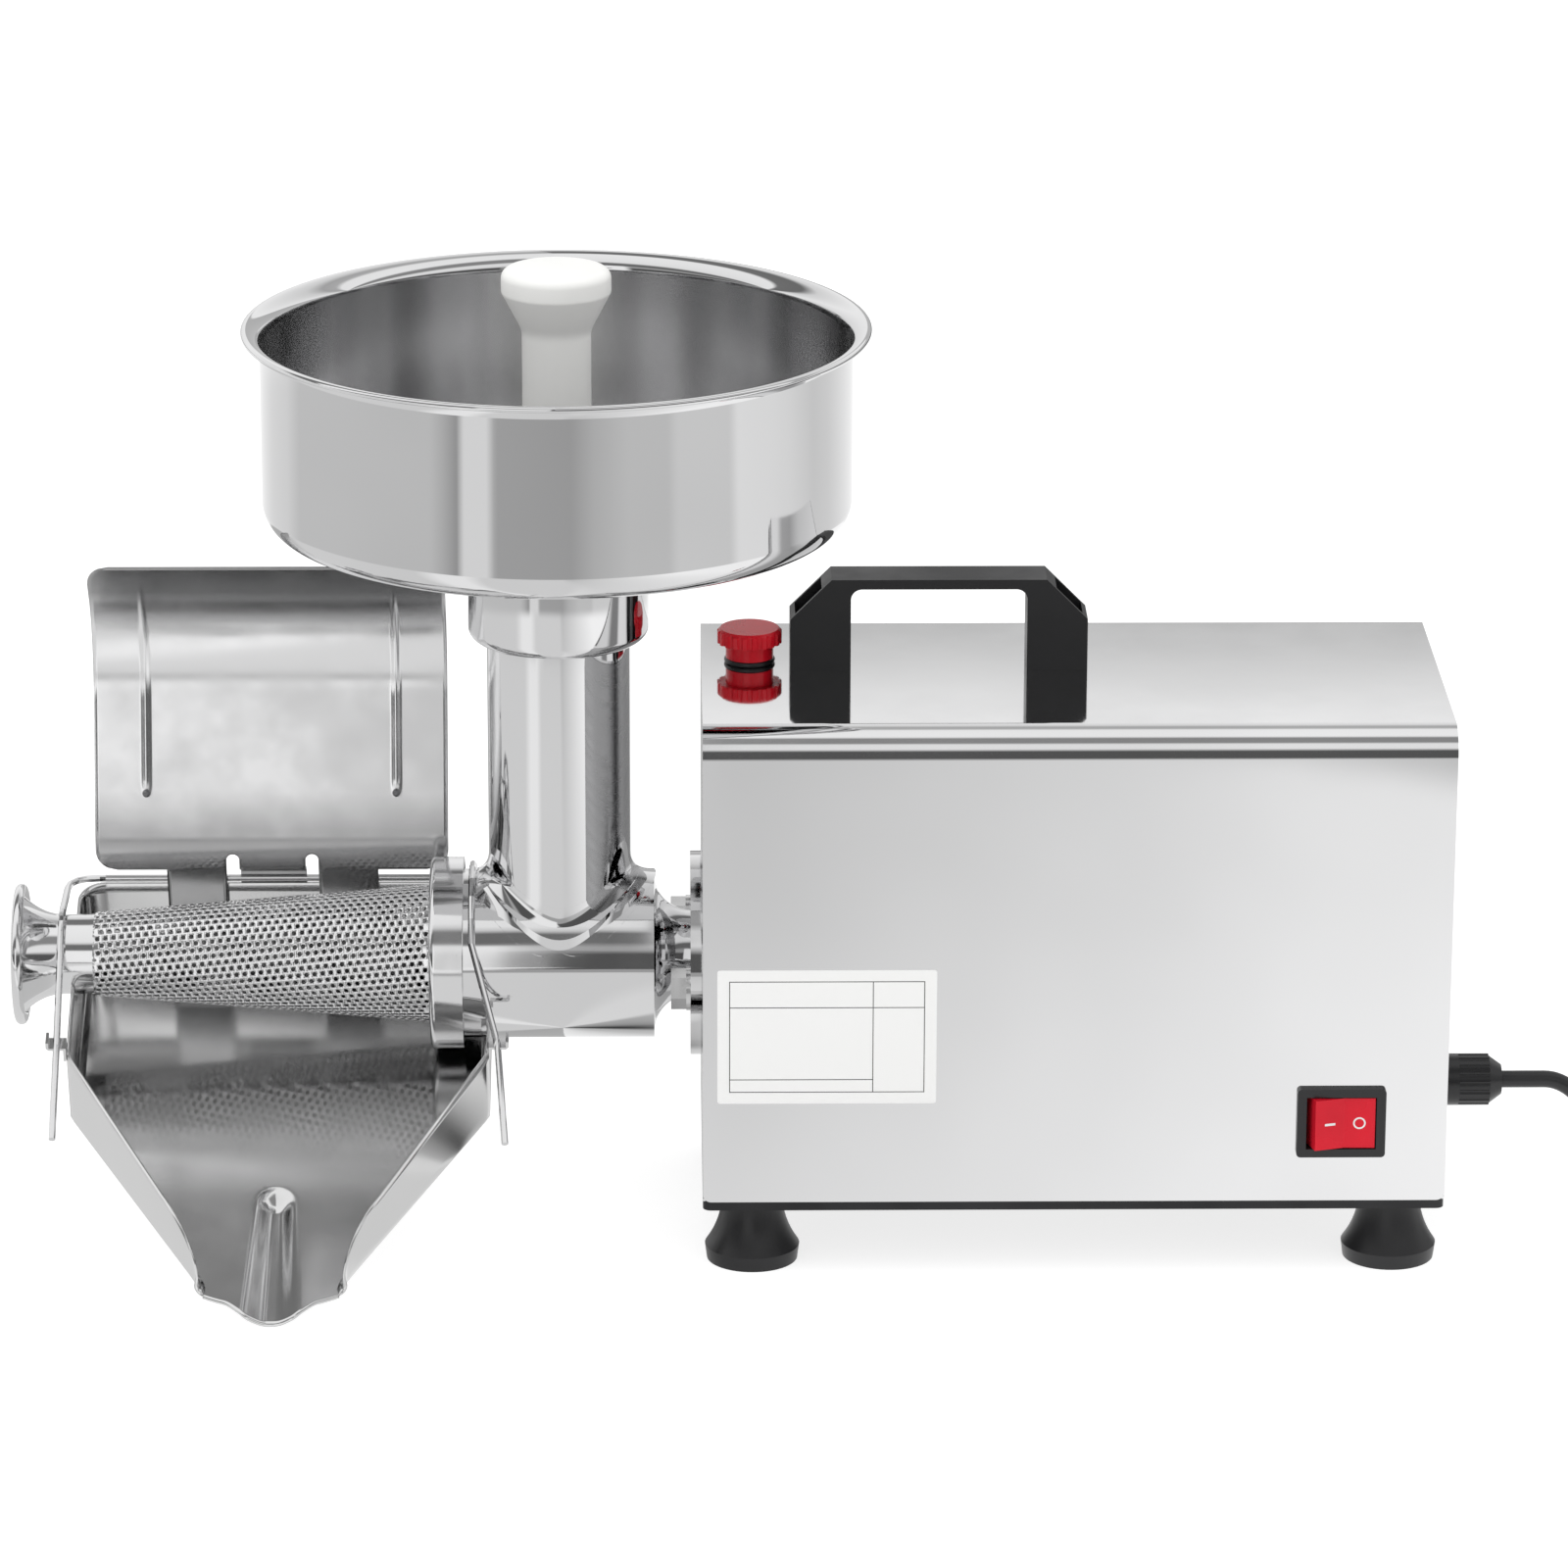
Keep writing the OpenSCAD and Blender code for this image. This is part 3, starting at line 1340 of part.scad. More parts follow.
module pan_profile() {
  wall_h = pan_h - pan_flare_r - pan_t;
  difference() {
    intersection() {
      pan_solid(0);
      square([pan_r, wall_h]);
    }
    pan_solid(pan_t);
    square([tube_bore_r, 2 * pan_t]);
  }
  translate([pan_rim_r, wall_h]) intersection() {
    difference() {
      circle(pan_flare_r + pan_t);
      circle(pan_flare_r);
    }
    translate([-pan_rim_r, 0]) square([pan_rim_r, pan_rim_r]);
  }
}

module hopper_pan() {
  color("silver") machine() translate([-tube_s, 0, pan_z]) rotate_extrude($fn = 128) pan_profile();
}

module socket_profile() {
  r = socket_r;
  c = socket_round_r;
  difference() {
    union() {
      translate([0, c]) square([r, socket_l - c]);
      square([r - c, socket_l]);
      translate([r - c, c]) circle(c);
    }
    square([socket_bore_r, socket_l]);
  }
}

module hopper_socket() {
  color("silver") machine() translate([-tube_s, 0, pan_z - socket_l]) rotate_extrude() socket_profile();
}

module pusher_profile() {
  h = pusher_top_z - pusher_z;
  c = pusher_round_r;
  foot_top = pusher_foot_h + pusher_foot_taper;
  head = h - pusher_head_h;
  polygon([
    [0, 0], [pusher_foot_r, 0], [pusher_foot_r, pusher_foot_h], [pusher_shaft_r, foot_top],
    [pusher_shaft_r, head - pusher_taper_h], [pusher_head_r, head], [pusher_head_r, h - c],
    [pusher_head_r - c, h - c], [pusher_head_r - c, h], [0, h]
  ]);
  translate([pusher_head_r - c, h - c]) circle(c);
}

module pusher() {
  color("white") machine() translate([-tube_s, 0, pusher_z]) rotate_extrude() pusher_profile();
}

// Juice tray, drawn in its tilted frame
side_angle = atan((half_tray - tray_lip_w / 2) / (tray_lip - tray_shoulder));

module tray_outline(inset, reach = 0) {
  r = tray_corner_r - inset;
  w = half_tray - inset;
  back = tray_rear - inset;
  lip_x = tray_lip_w / 2 - inset / cos(side_angle) - reach * tan(side_angle);
  knee_y = -tray_shoulder + inset * tan(side_angle / 2);
  for (side = [-1, 1]) translate([side * (w - r), back - r]) circle(r);
  polygon([
    [-(w - r), back], [-w, back - r], [-w, knee_y], [-lip_x, -tray_lip - reach],
    [lip_x, -tray_lip - reach], [w, knee_y], [w, back - r], [w - r, back]
  ]);
}

// Side view of the walls: y up the slope, z square to the floor
module wall_side_view() {
  floor_z = -tray_depth - tray_t;
  polygon([
    [tray_rear + eps, floor_z - eps], [tray_rear + eps, wall_top_rear], [0, wall_top_rear - 2 * tray_t],
    [-tray_shoulder, wall_top_shoulder], [-wall_front_y, wall_top_front], [-wall_front_y, floor_z - eps]
  ]);
  translate([-wall_front_y, -tray_depth]) intersection() {
    circle(wall_front_r);
    translate([-wall_front_r, 0]) square([wall_front_r, wall_front_r]);
  }
}

module tray_walls() {
  intersection() {
    lift(-tray_depth - tray_t) linear_extrude(tray_depth + 2 * rod_z) difference() {
      tray_outline(0);
      tray_outline(tray_t, tray_t);
    }
    translate([-half_tray - eps, 0, 0]) rotate([90, 0, 90]) linear_extrude(tray_w + 2 * eps) wall_side_view();
  }
}

module tray_floor() {
  chord = tray_lip_w / 2;
  front_r = (chord * chord + lip_sag * lip_sag) / (2 * lip_sag);
  lift(-tray_depth - tray_t) linear_extrude(tray_t) {
    tray_outline(0);
    intersection() {
      translate([0, -tray_lip - lip_sag + front_r]) circle(front_r);
      translate([-chord, -tray_lip - 2 * lip_sag]) square([tray_lip_w, 2 * lip_sag + eps]);
    }
  }
}

// The pouring channel is the lowest part of a tapered tube with a round end
function chord_radius(w, depth) = (w * w / 4 + depth * depth) / (2 * depth);
module channel_form(grow) {
  big_r = chord_radius(channel_w, channel_depth);
  small_r = chord_radius(channel_small_w, channel_depth);
  drop = big_r - small_r;
  translate([0, -tray_lip - channel_reach, big_r - channel_depth - tray_depth])
    rotate([-90 - atan(drop / channel_l), 0, 0]) {
      cylinder(r1 = big_r + grow, r2 = small_r + grow, h = channel_l);
      lift(channel_l) sphere(r = small_r + grow);
    }
}

module tray_hook(side) {
  translate([side * half_tray, -tray_shoulder, wall_top_shoulder + hook_rise]) mirror([side < 0 ? 1 : 0, 0, 0]) {
    translate([-tray_t, 0, -hook_t]) cube([hook_out + tray_t, hook_w, hook_t]);
    translate([hook_out - hook_t, 0, -hook_t]) cube([hook_t, hook_w, hook_lip_h]);
    translate([-tray_t, 0, -2 * hook_rise]) cube([tray_t, hook_w, 2 * hook_rise]);
  }
}

module juice_tray() {
  color("silver") tray_frame() difference() {
    union() {
      tray_walls();
      tray_floor();
      intersection() {
        channel_form(tray_t);
        translate([-half_tray, -tray_lip - channel_reach, -2 * tray_depth]) cube([tray_w, tray_lip, tray_depth]);
      }
      for (x = [-1, 1] * guard_knuckle_x) translate([x - guard_offset - knuckle_w / 2, rod_y, rod_z]) {
        aim_x() cylinder(r = knuckle_r, h = knuckle_w);
        lift(-rod_z - tray_t) cube([knuckle_w, knuckle_r, rod_z + tray_t]);
      }
      for (side = [-1, 1]) tray_hook(side);
    }
    channel_form(0);
    aim_x() cylinder(r = barrel_r + notch_gap, h = half_tray + eps);
    rotate([0, -90, 0]) cylinder(r = outlet_neck_r + notch_gap, h = half_tray + eps);
    translate([-half_tray, rod_y, rod_z]) aim_x() cylinder(r = knuckle_bore_r, h = tray_w);
  }
}

guard_knuckle_x = (guard_tab_in + guard_tab_out) / 2;

// Splash guard: a bent strip of constant thickness, cut to its outline
// Headings are measured from straight up, and lean to the front when positive
function heading_vector(a) = [-sin(a), cos(a)];
function curve_points(p, from, to, r, steps) = [
  for (i = [1:steps]) let (a = from + (to - from) * i / steps, side = to > from ? 1 : -1)
    p + side * r * [cos(a) - cos(from), sin(a) - sin(from)]
];
function tray_point(y, n) = [y * cos(tray_tilt) - n * sin(tray_tilt), y * sin(tray_tilt) + n * cos(tray_tilt) + axis_z];
function last(list) = list[len(list) - 1];
function guard_line(shift) =
  let (
    tilt = tray_tilt,
    start = guard_origin + shift * [cos(tilt), sin(tilt)],
    a = start + guard_tab_l * heading_vector(tilt),
    b = curve_points(a, tilt, -guard_lean_back, guard_foot_r - shift, guard_bend_steps),
    c = last(b) + guard_plate_l * heading_vector(-guard_lean_back),
    d = curve_points(c, -guard_lean_back, guard_lean_over, guard_bend_r + shift, guard_bend_steps),
    e = last(d) + guard_strip_l * heading_vector(guard_lean_over)
  ) concat([start, a], b, [c], d, [e]);

// Start of the outer tabs, in front of the knuckles, in the machine's y and z
guard_tab_y = rod_y - knuckle_r - slide_gap - guard_t;
guard_tab_z = rod_z + knuckle_r - guard_tab_l;
guard_origin = tray_point(guard_tab_y, guard_tab_z);
guard_fold = guard_line(0)[1];
guard_plate_start = last(curve_points(guard_fold, tray_tilt, -guard_lean_back, guard_foot_r, 1));
guard_plate_z = guard_plate_start[1];
guard_top_z = last(guard_line(0))[1];

module guard_sheet(thickness, shift) {
  along_x(guard_w) polygon(concat(guard_line(shift), reversed(guard_line(shift + thickness))));
}

module guard_outline() {
  c = guard_corner_r;
  h = guard_top_z - guard_plate_z + eps;
  w = guard_w / 2;
  translate([0, guard_plate_z]) {
    for (x = [-1, 1], y = [c, h - c]) translate([x * (w - c), y]) circle(c);
    translate([-w, c]) square([guard_w, h - 2 * c]);
    translate([-(w - c), 0]) square([guard_w - 2 * c, h]);
  }
  for (side = [-1, 1]) translate([side * guard_knuckle_x - (guard_tab_out - guard_tab_in) / 2, 0])
    square([guard_tab_out - guard_tab_in, guard_plate_z + c]);
}

module guard_slots() {
  w = guard_tab_in - guard_slot_in;
  for (side = [-1, 1]) translate([side * (guard_slot_in + w / 2), 0]) {
    translate([-w / 2, 0]) square([w, guard_plate_z + guard_slot_h]);
    translate([0, guard_plate_z + guard_slot_h]) circle(w / 2);
  }
}

// The centre tab is folded back over the tray's edge and clips behind its wall
module guard_clip() {
  t = guard_t;
  top = rod_z + wire_r + 2 * guard_clip_gap;
  behind = tray_rear + guard_clip_gap;
  up = t * heading_vector(-guard_lean_back);
  across = t * [cos(guard_lean_back), -sin(guard_lean_back)];
  translate([-guard_slot_in, 0, 0]) along_x(2 * guard_slot_in) polygon([
    guard_plate_start + up, guard_plate_start, tray_point(behind, top), tray_point(behind, top - guard_clip_l),
    tray_point(behind + t, top - guard_clip_l), tray_point(behind + t, top + t),
    guard_plate_start + across, guard_plate_start + across + up
  ]);
}

module guard_cut(depth) { rotate([90, 0, 0]) lift(-depth) linear_extrude(2 * depth) children(); }

module guard_ribs() {
  z0 = guard_plate_z + guard_rib_start;
  intersection() {
    translate([-guard_w / 2, 0, 0]) union() {
      guard_sheet(guard_rib_h, -guard_rib_h / 2);
      guard_sheet(guard_rib_h, -guard_rib_h);
    }
    guard_cut(housing_d) for (side = [-1, 1]) translate([side * guard_rib_x, 0]) {
      translate([-guard_rib_w / 2, z0]) square([guard_rib_w, guard_top_z - z0 - 2 * guard_corner_r]);
      translate([0, z0]) circle(guard_rib_w / 2);
    }
  }
}

module splash_guard() {
  color("silver") machine() translate([-tray_s - guard_offset, 0, 0]) {
    difference() {
      intersection() {
        translate([-guard_w / 2, 0, 0]) guard_sheet(guard_t, 0);
        guard_cut(housing_d) guard_outline();
      }
      guard_cut(housing_d) guard_slots();
    }
    guard_ribs();
    guard_clip();
  }
}

// Wire bail: the rear rod is its hinge, the arms are swept along their routes
function unit(v) = v / norm(v);
function sweep_direction(path, i) =
  i == 0 ? unit(path[1] - path[0]) :
  i == len(path) - 1 ? unit(path[i] - path[i - 1]) :
  unit(unit(path[i + 1] - path[i]) + unit(path[i] - path[i - 1]));
function sweep_ring(p, d, r, sides, side_hint) =
  let (u = unit(cross(side_hint, d)), v = cross(d, u))
  [for (k = [0:sides - 1]) p + r * (cos(k * 360 / sides) * u + sin(k * 360 / sides) * v)];

module sweep_tube(path, r, sides, side_hint) {
  n = len(path);
  rings = [for (i = [0:n - 1]) each sweep_ring(path[i], sweep_direction(path, i), r, sides, side_hint)];
  faces = concat(
    [[for (k = [sides - 1:-1:0]) k]],
    [for (i = [0:n - 2], k = [0:sides - 1]) let (a = i * sides + k, b = i * sides + (k + 1) % sides)
      each [[a, b, b + sides], [a, b + sides, a + sides]]],
    [[for (k = [0:sides - 1]) (n - 1) * sides + k]]
  );
  polyhedron(rings, [for (f = faces) reversed(f)], convexity = 8);
}

// A route turns each of its corners on a short curve
function corner_curve(a, b, c, r) = let (p = b + r * unit(a - b), q = b + r * unit(c - b))
  [for (i = [0:bend_steps]) let (t = i / bend_steps) (1 - t) * (1 - t) * p + 2 * t * (1 - t) * b + t * t * q];
function bent_route(p, r) = concat(
  [p[0]], [for (i = [1:len(p) - 2]) each corner_curve(p[i - 1], p[i], p[i + 1], r)], [last(p)]
);
function over(x, r, a) = [x, -r * sin(a), r * cos(a)];
arm_left_x = -half_tray - arm_out;
arm_right_x = half_tray - wire_r - arm_in;
hook_right_x = half_tray + arm_out;
neck_over = outlet_neck_r + neck_arm_gap + wire_r;
barrel_over = barrel_r + slide_gap + wire_r;
hook_wire = [-tray_shoulder, wall_top_shoulder + hook_rise + wire_r + slide_gap / 2];
rear_distance = norm([rod_y, rod_z]);
rear_turn = 90 - atan(rod_z / rod_y);
front_turn = 90 + atan(-hook_wire[1] / -hook_wire[0]);
left_rear_a = acos(neck_over / rear_distance) - rear_turn;
left_front_a = front_turn - acos(neck_over / norm(hook_wire));
right_rear_a = acos(barrel_over / rear_distance) - rear_turn;
right_front_a = front_turn - acos(barrel_over / norm(hook_wire));
left_arm_route = concat(
  bent_route([
    [arm_root - rod_end, rod_y, rod_z], [arm_left_x, rod_y, rod_z], over(arm_left_x, neck_over, left_rear_a)
  ], arm_bend_r),
  [for (i = [1:over_steps]) over(arm_left_x, neck_over, left_rear_a + (left_front_a - left_rear_a) * i / over_steps)],
  [[arm_left_x, hook_wire[0], hook_wire[1]], [arm_left_x, hook_wire[0] - arm_tail_l, hook_wire[1] - arm_tail_drop]]
);
right_arm_route = concat(
  bent_route([
    [rod_end - arm_root, rod_y, rod_z], [arm_right_x, rod_y, rod_z], over(arm_right_x, barrel_over, right_rear_a)
  ], arm_small_bend_r),
  [for (i = [1:over_steps - 1]) over(arm_right_x, barrel_over, right_rear_a + (right_front_a - right_rear_a) * i / over_steps)],
  bent_route([
    over(arm_right_x, barrel_over, right_front_a), [hook_right_x, hook_wire[0], hook_wire[1]],
    [hook_right_x + arm_splay, hook_wire[0] - arm_tail_l, hook_wire[1] - arm_tail_drop - arm_splay]
  ], arm_small_bend_r)
);

module wire_bail() {
  color("silver") tray_frame() {
    translate([-rod_end, rod_y, rod_z]) aim_x() cylinder(r = wire_r, h = 2 * rod_end);
    sweep_tube(left_arm_route, wire_r - arm_slim, arm_sides, [0.2, 0.6, 1]);
    sweep_tube(right_arm_route, wire_r - arm_slim, arm_sides, [0.2, 0.6, 1]);
  }
}

// Mains cord
function smooth(t) = let (x = min(1, max(0, t))) x * x * (3 - 2 * x);
function coil_radius(turn) = coil_in_r + coil_step * abs(turn - coil_turns_in);
function coil_height(turn) = coil_z + coil_rise * smooth((turn - coil_turns_in) * 2 + 0.5);
function coil_point(turn) = [
  coil_x + coil_radius(turn) * sin(turn * 360), coil_y - coil_radius(turn) * cos(turn * 360), coil_height(turn)
];
coil_steps = coil_turns * coil_rings_per_turn;
coil_loops = [for (i = [0:coil_steps]) coil_point(i / coil_rings_per_turn)];
coil_route = concat([coil_loops[0] - [cord_d, 0, 0]], coil_loops, [last(coil_loops) + [0, cord_d, 0]]);
coil_gap = min([
  for (i = [0:2:coil_steps], j = [i + 12:1:coil_steps]) norm(coil_loops[i] - coil_loops[j])
]) - cord_d;
echo(coil_least_gap = coil_gap);

function bezier(a, b, c, d) = [for (i = [0:route_steps]) let (t = i / route_steps, u = 1 - t)
  u * u * u * a + 3 * u * u * t * b + 3 * u * t * t * c + t * t * t * d];
lead_bend = [gland_end_x + lead_straight, 0, gland_z];
lead_end = coil_route[0];
tail_start = last(coil_route);
plug_place = [tail_start[0], tail_start[1] + tail_l, plug_axis_z];
lead_route = concat([[gland_end_x, 0, gland_z]],
  bezier(lead_bend, lead_bend + [lead_start_pull, 0, 0], lead_end - [lead_end_pull, 0, 0], lead_end));
tail_route = bezier(tail_start, tail_start + [0, tail_pull, 0], plug_place - [0, tail_pull, 0], plug_place);

module cord_lead() { color(dark) machine() sweep_tube(lead_route, cord_r, cord_sides, [0, 1, 0]); }
module cord_coil() { color(dark) machine() sweep_tube(coil_route, cord_r, coil_sides, [0, 0, 1]); }
module cord_tail() { color(dark) machine() sweep_tube(tail_route, cord_r, cord_sides, [1, 0, 0]); }

module plug_frame() { machine() translate(plug_place) rotate([-90, 0, 0]) children(); }

module plug() {
  color(dark) plug_frame() {
    cylinder(r1 = cord_r, r2 = plug_boot_r, h = plug_boot_l);
    lift(plug_boot_l) cylinder(r1 = plug_neck_r, r2 = plug_grip_r, h = plug_grip_l);
    lift(plug_boot_l + plug_grip_l) cylinder(r = plug_face_r, h = plug_face_l);
  }
}

module plug_pins() {
  color("silver") plug_frame() for (side = [-1, 1])
    translate([side * plug_pin_spacing / 2, 0, plug_boot_l + plug_grip_l + plug_face_l])
      cylinder(r = plug_pin_r, h = plug_pin_l);
}

housing_wrap();
left_end_plate();
right_end_plate();
base_plate();
rubber_feet();
foot_screws();
carry_handle();
handle_screws();
oil_filler_neck();
oil_cap();
oil_cap_ring();
switch_bezel();
switch_rocker();
gland_body();
gland_nut();
gland_lock_nut();
gearbox_case();
gearbox_cover();
gearbox_gasket();
gearbox_bolts();
output_bearings();
lay_bearings();
output_shaft();
output_gear();
lay_shaft();
lay_gear();
lay_pinion();
motor_pinion();
motor_stator();
motor_front_bell();
motor_rear_bell();
motor_bearings();
motor_cradle();
rotor_core();
rotor_shaft();
cooling_fan();
start_capacitor();
terminal_block();
press_body();
shaft_seal();
flange_bolts();
flange_washers();
auger();
screen_gasket();
screen_cone();
waste_outlet();
lock_ring();
hopper_pan();
hopper_socket();
pusher();
juice_tray();
splash_guard();
wire_bail();
cord_lead();
cord_coil();
cord_tail();
plug();
plug_pins();
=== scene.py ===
"""Looks of an electric tomato press: polished housing, press head, perforated cone, hopper and tray."""

import math

import bmesh
import bpy
import numpy as np
from bpy.props import FloatProperty, FloatVectorProperty, IntProperty, PointerProperty
from mathutils import Matrix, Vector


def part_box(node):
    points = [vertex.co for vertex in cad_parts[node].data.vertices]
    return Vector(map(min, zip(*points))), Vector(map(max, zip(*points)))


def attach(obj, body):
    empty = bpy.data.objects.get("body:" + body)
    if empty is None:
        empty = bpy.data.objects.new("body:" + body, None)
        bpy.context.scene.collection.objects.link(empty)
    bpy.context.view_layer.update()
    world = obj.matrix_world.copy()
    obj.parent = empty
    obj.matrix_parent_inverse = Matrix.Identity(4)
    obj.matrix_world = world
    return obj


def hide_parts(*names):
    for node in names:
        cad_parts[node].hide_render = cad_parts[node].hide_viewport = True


bl_info = {
    "name": "Tomato press looks",
    "version": (1, 0, 0),
    "blender": (4, 5, 0),
    "location": "View3D > Sidebar > Tomato press",
    "description": "Builds the visible surfaces and finishes of a tabletop tomato press",
    "category": "Object",
}

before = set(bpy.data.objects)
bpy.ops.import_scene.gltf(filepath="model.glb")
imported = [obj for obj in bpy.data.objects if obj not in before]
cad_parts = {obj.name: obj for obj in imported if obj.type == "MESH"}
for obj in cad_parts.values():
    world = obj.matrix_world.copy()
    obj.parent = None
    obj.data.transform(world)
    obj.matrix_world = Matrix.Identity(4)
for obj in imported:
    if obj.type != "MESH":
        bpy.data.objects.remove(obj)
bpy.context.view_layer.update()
HOUSING_LOW, HOUSING_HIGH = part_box("housing_wrap")
MM = 0.001
MACHINE_ZERO = np.array([HOUSING_LOW.x, (HOUSING_LOW.y + HOUSING_HIGH.y) / 2, 0.0])


def length(name, description, default):
    """A size in millimetres"""
    return FloatProperty(name=name, description=description, default=default, min=0.0)


def degrees(name, description, default):
    """An angle, given in degrees and kept in radians"""
    return FloatProperty(name=name, description=description, default=math.radians(default), subtype="ANGLE")


def colour(name, description, default):
    """A colour in red, green and blue from 0 to 1"""
    return FloatVectorProperty(name=name, description=description, default=default, size=3,
                               min=0.0, max=1.0, subtype="COLOR")


def share(name, description, default):
    """A level, where 1 is full"""
    return FloatProperty(name=name, description=description, default=default, min=0.0, max=4.0,
                         subtype="FACTOR")


class StudioSettings(bpy.types.PropertyGroup):
    """Camera, lamps and surroundings. Places are in metres in the model's frame"""
    camera_place: FloatVectorProperty(name="Camera", description="Place of the camera",
                                      default=(-0.03705, -2.54090, 0.99750), subtype="TRANSLATION")
    camera_pitch: degrees("Pitch", "How far the camera looks down", 18.114)
    camera_turn: degrees("Turn", "How far the camera is turned to the right", 1.011)
    camera_roll: degrees("Roll", "How far the camera leans", 0.169)
    focal_length: FloatProperty(name="Focal length", default=168.894, min=10.0,
                                description="Focal length in millimetres on a 36 mm sensor")
    sky_level: share("Sky level", "Strength of the even light from all round", 1.0)
    key_power: FloatProperty(name="Key power", default=5.0, min=0.0,
                             description="Power of the overhead soft lamp in watts")
    floor_tone: share("Floor tone", "Lightness of the table", 0.90)
    shadow: share("Shadow", "Depth of the soft shadow on the table", 0.44)


class PaletteSettings(bpy.types.PropertyGroup):
    """Base colours of the finishes"""
    polished: colour("Polished steel", "Colour of the mirror polished press head", (0.80, 0.80, 0.805))
    sheet: colour("Housing sheet", "Colour of the polished housing sheet", (0.84, 0.84, 0.845))
    satin: colour("Satin sheet", "Colour of the tray", (0.80, 0.80, 0.80))
    screen: colour("Screen steel", "Colour of the perforated cone", (0.93, 0.93, 0.935))
    guard: colour("Guard sheet", "Colour of the splash guard", (0.90, 0.90, 0.905))
    panel: colour("End plates", "Colour of the brushed end plates", (0.50, 0.50, 0.505))
    inside: colour("Pan inside", "Colour of the brushed inside of the hopper", (0.68, 0.68, 0.685))
    plastic_black: colour("Black plastic", "Colour of the handle, gland and switch", (0.008, 0.008, 0.009))
    rubber: colour("Rubber", "Colour of the feet and the cord", (0.010, 0.010, 0.011))
    cap_red: colour("Cap red", "Colour of the oil cap", (0.62, 0.008, 0.020))
    rocker_red: colour("Rocker red", "Colour of the switch rocker", (0.58, 0.010, 0.024))
    pusher_white: colour("Pusher white", "Colour of the pusher", (0.92, 0.92, 0.90))
    label_white: colour("Label white", "Colour of the blank label", (0.93, 0.93, 0.92))


class HopperSettings(bpy.types.PropertyGroup):
    """Hopper, socket and pusher, in millimetres"""
    wall_radius: length("Wall radius", "Outside radius of the hopper's wall", 106.0)
    rim_radius: length("Rim radius", "Radius over the flared rim", 112.7)
    height: length("Height", "Height of the pan", 73.0)
    sheet: length("Sheet", "Sheet thickness", 0.9)
    corner: length("Bottom corner", "Radius of the bottom corner", 10.0)
    curl: length("Rim curl", "Radius of the curl under the rim", 1.1)
    socket_radius: length("Socket radius", "Outside radius of the socket", 32.7)
    socket_bore: length("Socket bore", "Inside radius of the socket", 26.6)
    socket_length: length("Socket length", "Length of the socket below the pan", 43.0)
    throat: length("Throat", "Radius of the opening in the pan's bottom", 23.5)
    axis: length("Axis", "Distance of the feed tube from the housing", 51.7)
    seat: length("Seat height", "Height of the pan's bottom above the table", 263.4)


class PusherSettings(bpy.types.PropertyGroup):
    """Pusher, in millimetres"""
    bottom: length("Bottom", "Height of the foot above the table", 126.4)
    top: length("Top", "Height of the head above the table", 357.4)
    head_radius: length("Head radius", "Radius of the head", 19.7)
    shaft_radius: length("Shaft radius", "Radius of the shaft", 12.4)
    foot_radius: length("Foot radius", "Radius of the foot", 21.0)


class ScreenSettings(bpy.types.PropertyGroup):
    """Perforated cone, in millimetres from the housing along the press axis"""
    start: length("Start", "Where the cone's flange begins", 95.2)
    cone_start: length("Cone start", "Where the perforated cone begins", 96.8)
    cone_end: length("Cone end", "Where the cone meets its collar", 224.2)
    collar_end: length("Collar end", "Where the collar ends", 229.2)
    big_radius: length("Big radius", "Outside radius at the barrel", 24.8)
    small_radius: length("Small radius", "Outside radius at the collar", 14.6)
    flange_radius: length("Flange radius", "Radius of the flange inside the ring", 31.0)
    sheet: length("Sheet", "Sheet thickness", 1.0)
    screen: length("Screen", "Thickness of the perforated sheet", 0.6)
    hole: length("Hole", "Diameter of a hole", 1.75)
    pitch: length("Pitch", "Distance between neighbouring holes", 3.0)
    margin: length("Margin", "Plain border at each end", 2.5)


class TraySettings(bpy.types.PropertyGroup):
    """Juice tray in its own sloping frame, in millimetres"""
    place: length("Place", "Distance of the tray's middle from the housing", 153.9)
    tilt: degrees("Tilt", "Slope of the floor", 21.5)
    width: length("Width", "Width over the walls", 155.0)
    depth: length("Depth", "Floor below the press axis", 39.1)
    rear: length("Rear", "Back wall behind the press axis", 40.5)
    shoulder: length("Shoulder", "Shoulders in front of the press axis", 49.0)
    lip: length("Lip", "Lip in front of the press axis", 140.0)
    lip_width: length("Lip width", "Width at the lip", 52.0)
    corner: length("Corner", "Radius of the rear corners", 11.0)
    bend: length("Bend", "Radius between walls and floor", 3.0)
    channel: length("Channel", "Width of the pouring channel at the lip", 22.0)
    channel_depth: length("Channel depth", "Depth of the pouring channel", 3.4)
    channel_length: length("Channel length", "Length of the pouring channel", 58.0)
    sheet: length("Sheet", "Sheet thickness", 1.0)


class GuardSettings(bpy.types.PropertyGroup):
    """Splash guard, in millimetres"""
    width: length("Width", "Width of the plate", 130.0)
    plate: length("Plate", "Height of the plate", 81.0)
    strip: length("Strip", "Length of the leaning top strip", 36.0)
    sheet: length("Sheet", "Sheet thickness", 0.8)
    lean_back: degrees("Lean back", "Backward lean of the plate", 12.0)
    lean_over: degrees("Lean over", "Forward lean of the top strip", 40.0)
    lean_foot: degrees("Lean of the foot", "Forward lean of the plate's lower edge", 15.0)
    foot: length("Foot", "Length of the bend above the lower edge", 16.0)
    tab_length: length("Tab", "Length of the lower tabs", 34.0)
    corner: length("Corner", "Radius of the corners", 8.0)
    bend: length("Bend", "Radius of the swing from the plate to the strip", 48.0)
    rib: length("Rib", "Width of a pressed rib", 4.0)
    rib_height: length("Rib height", "Height of a pressed rib", 0.7)


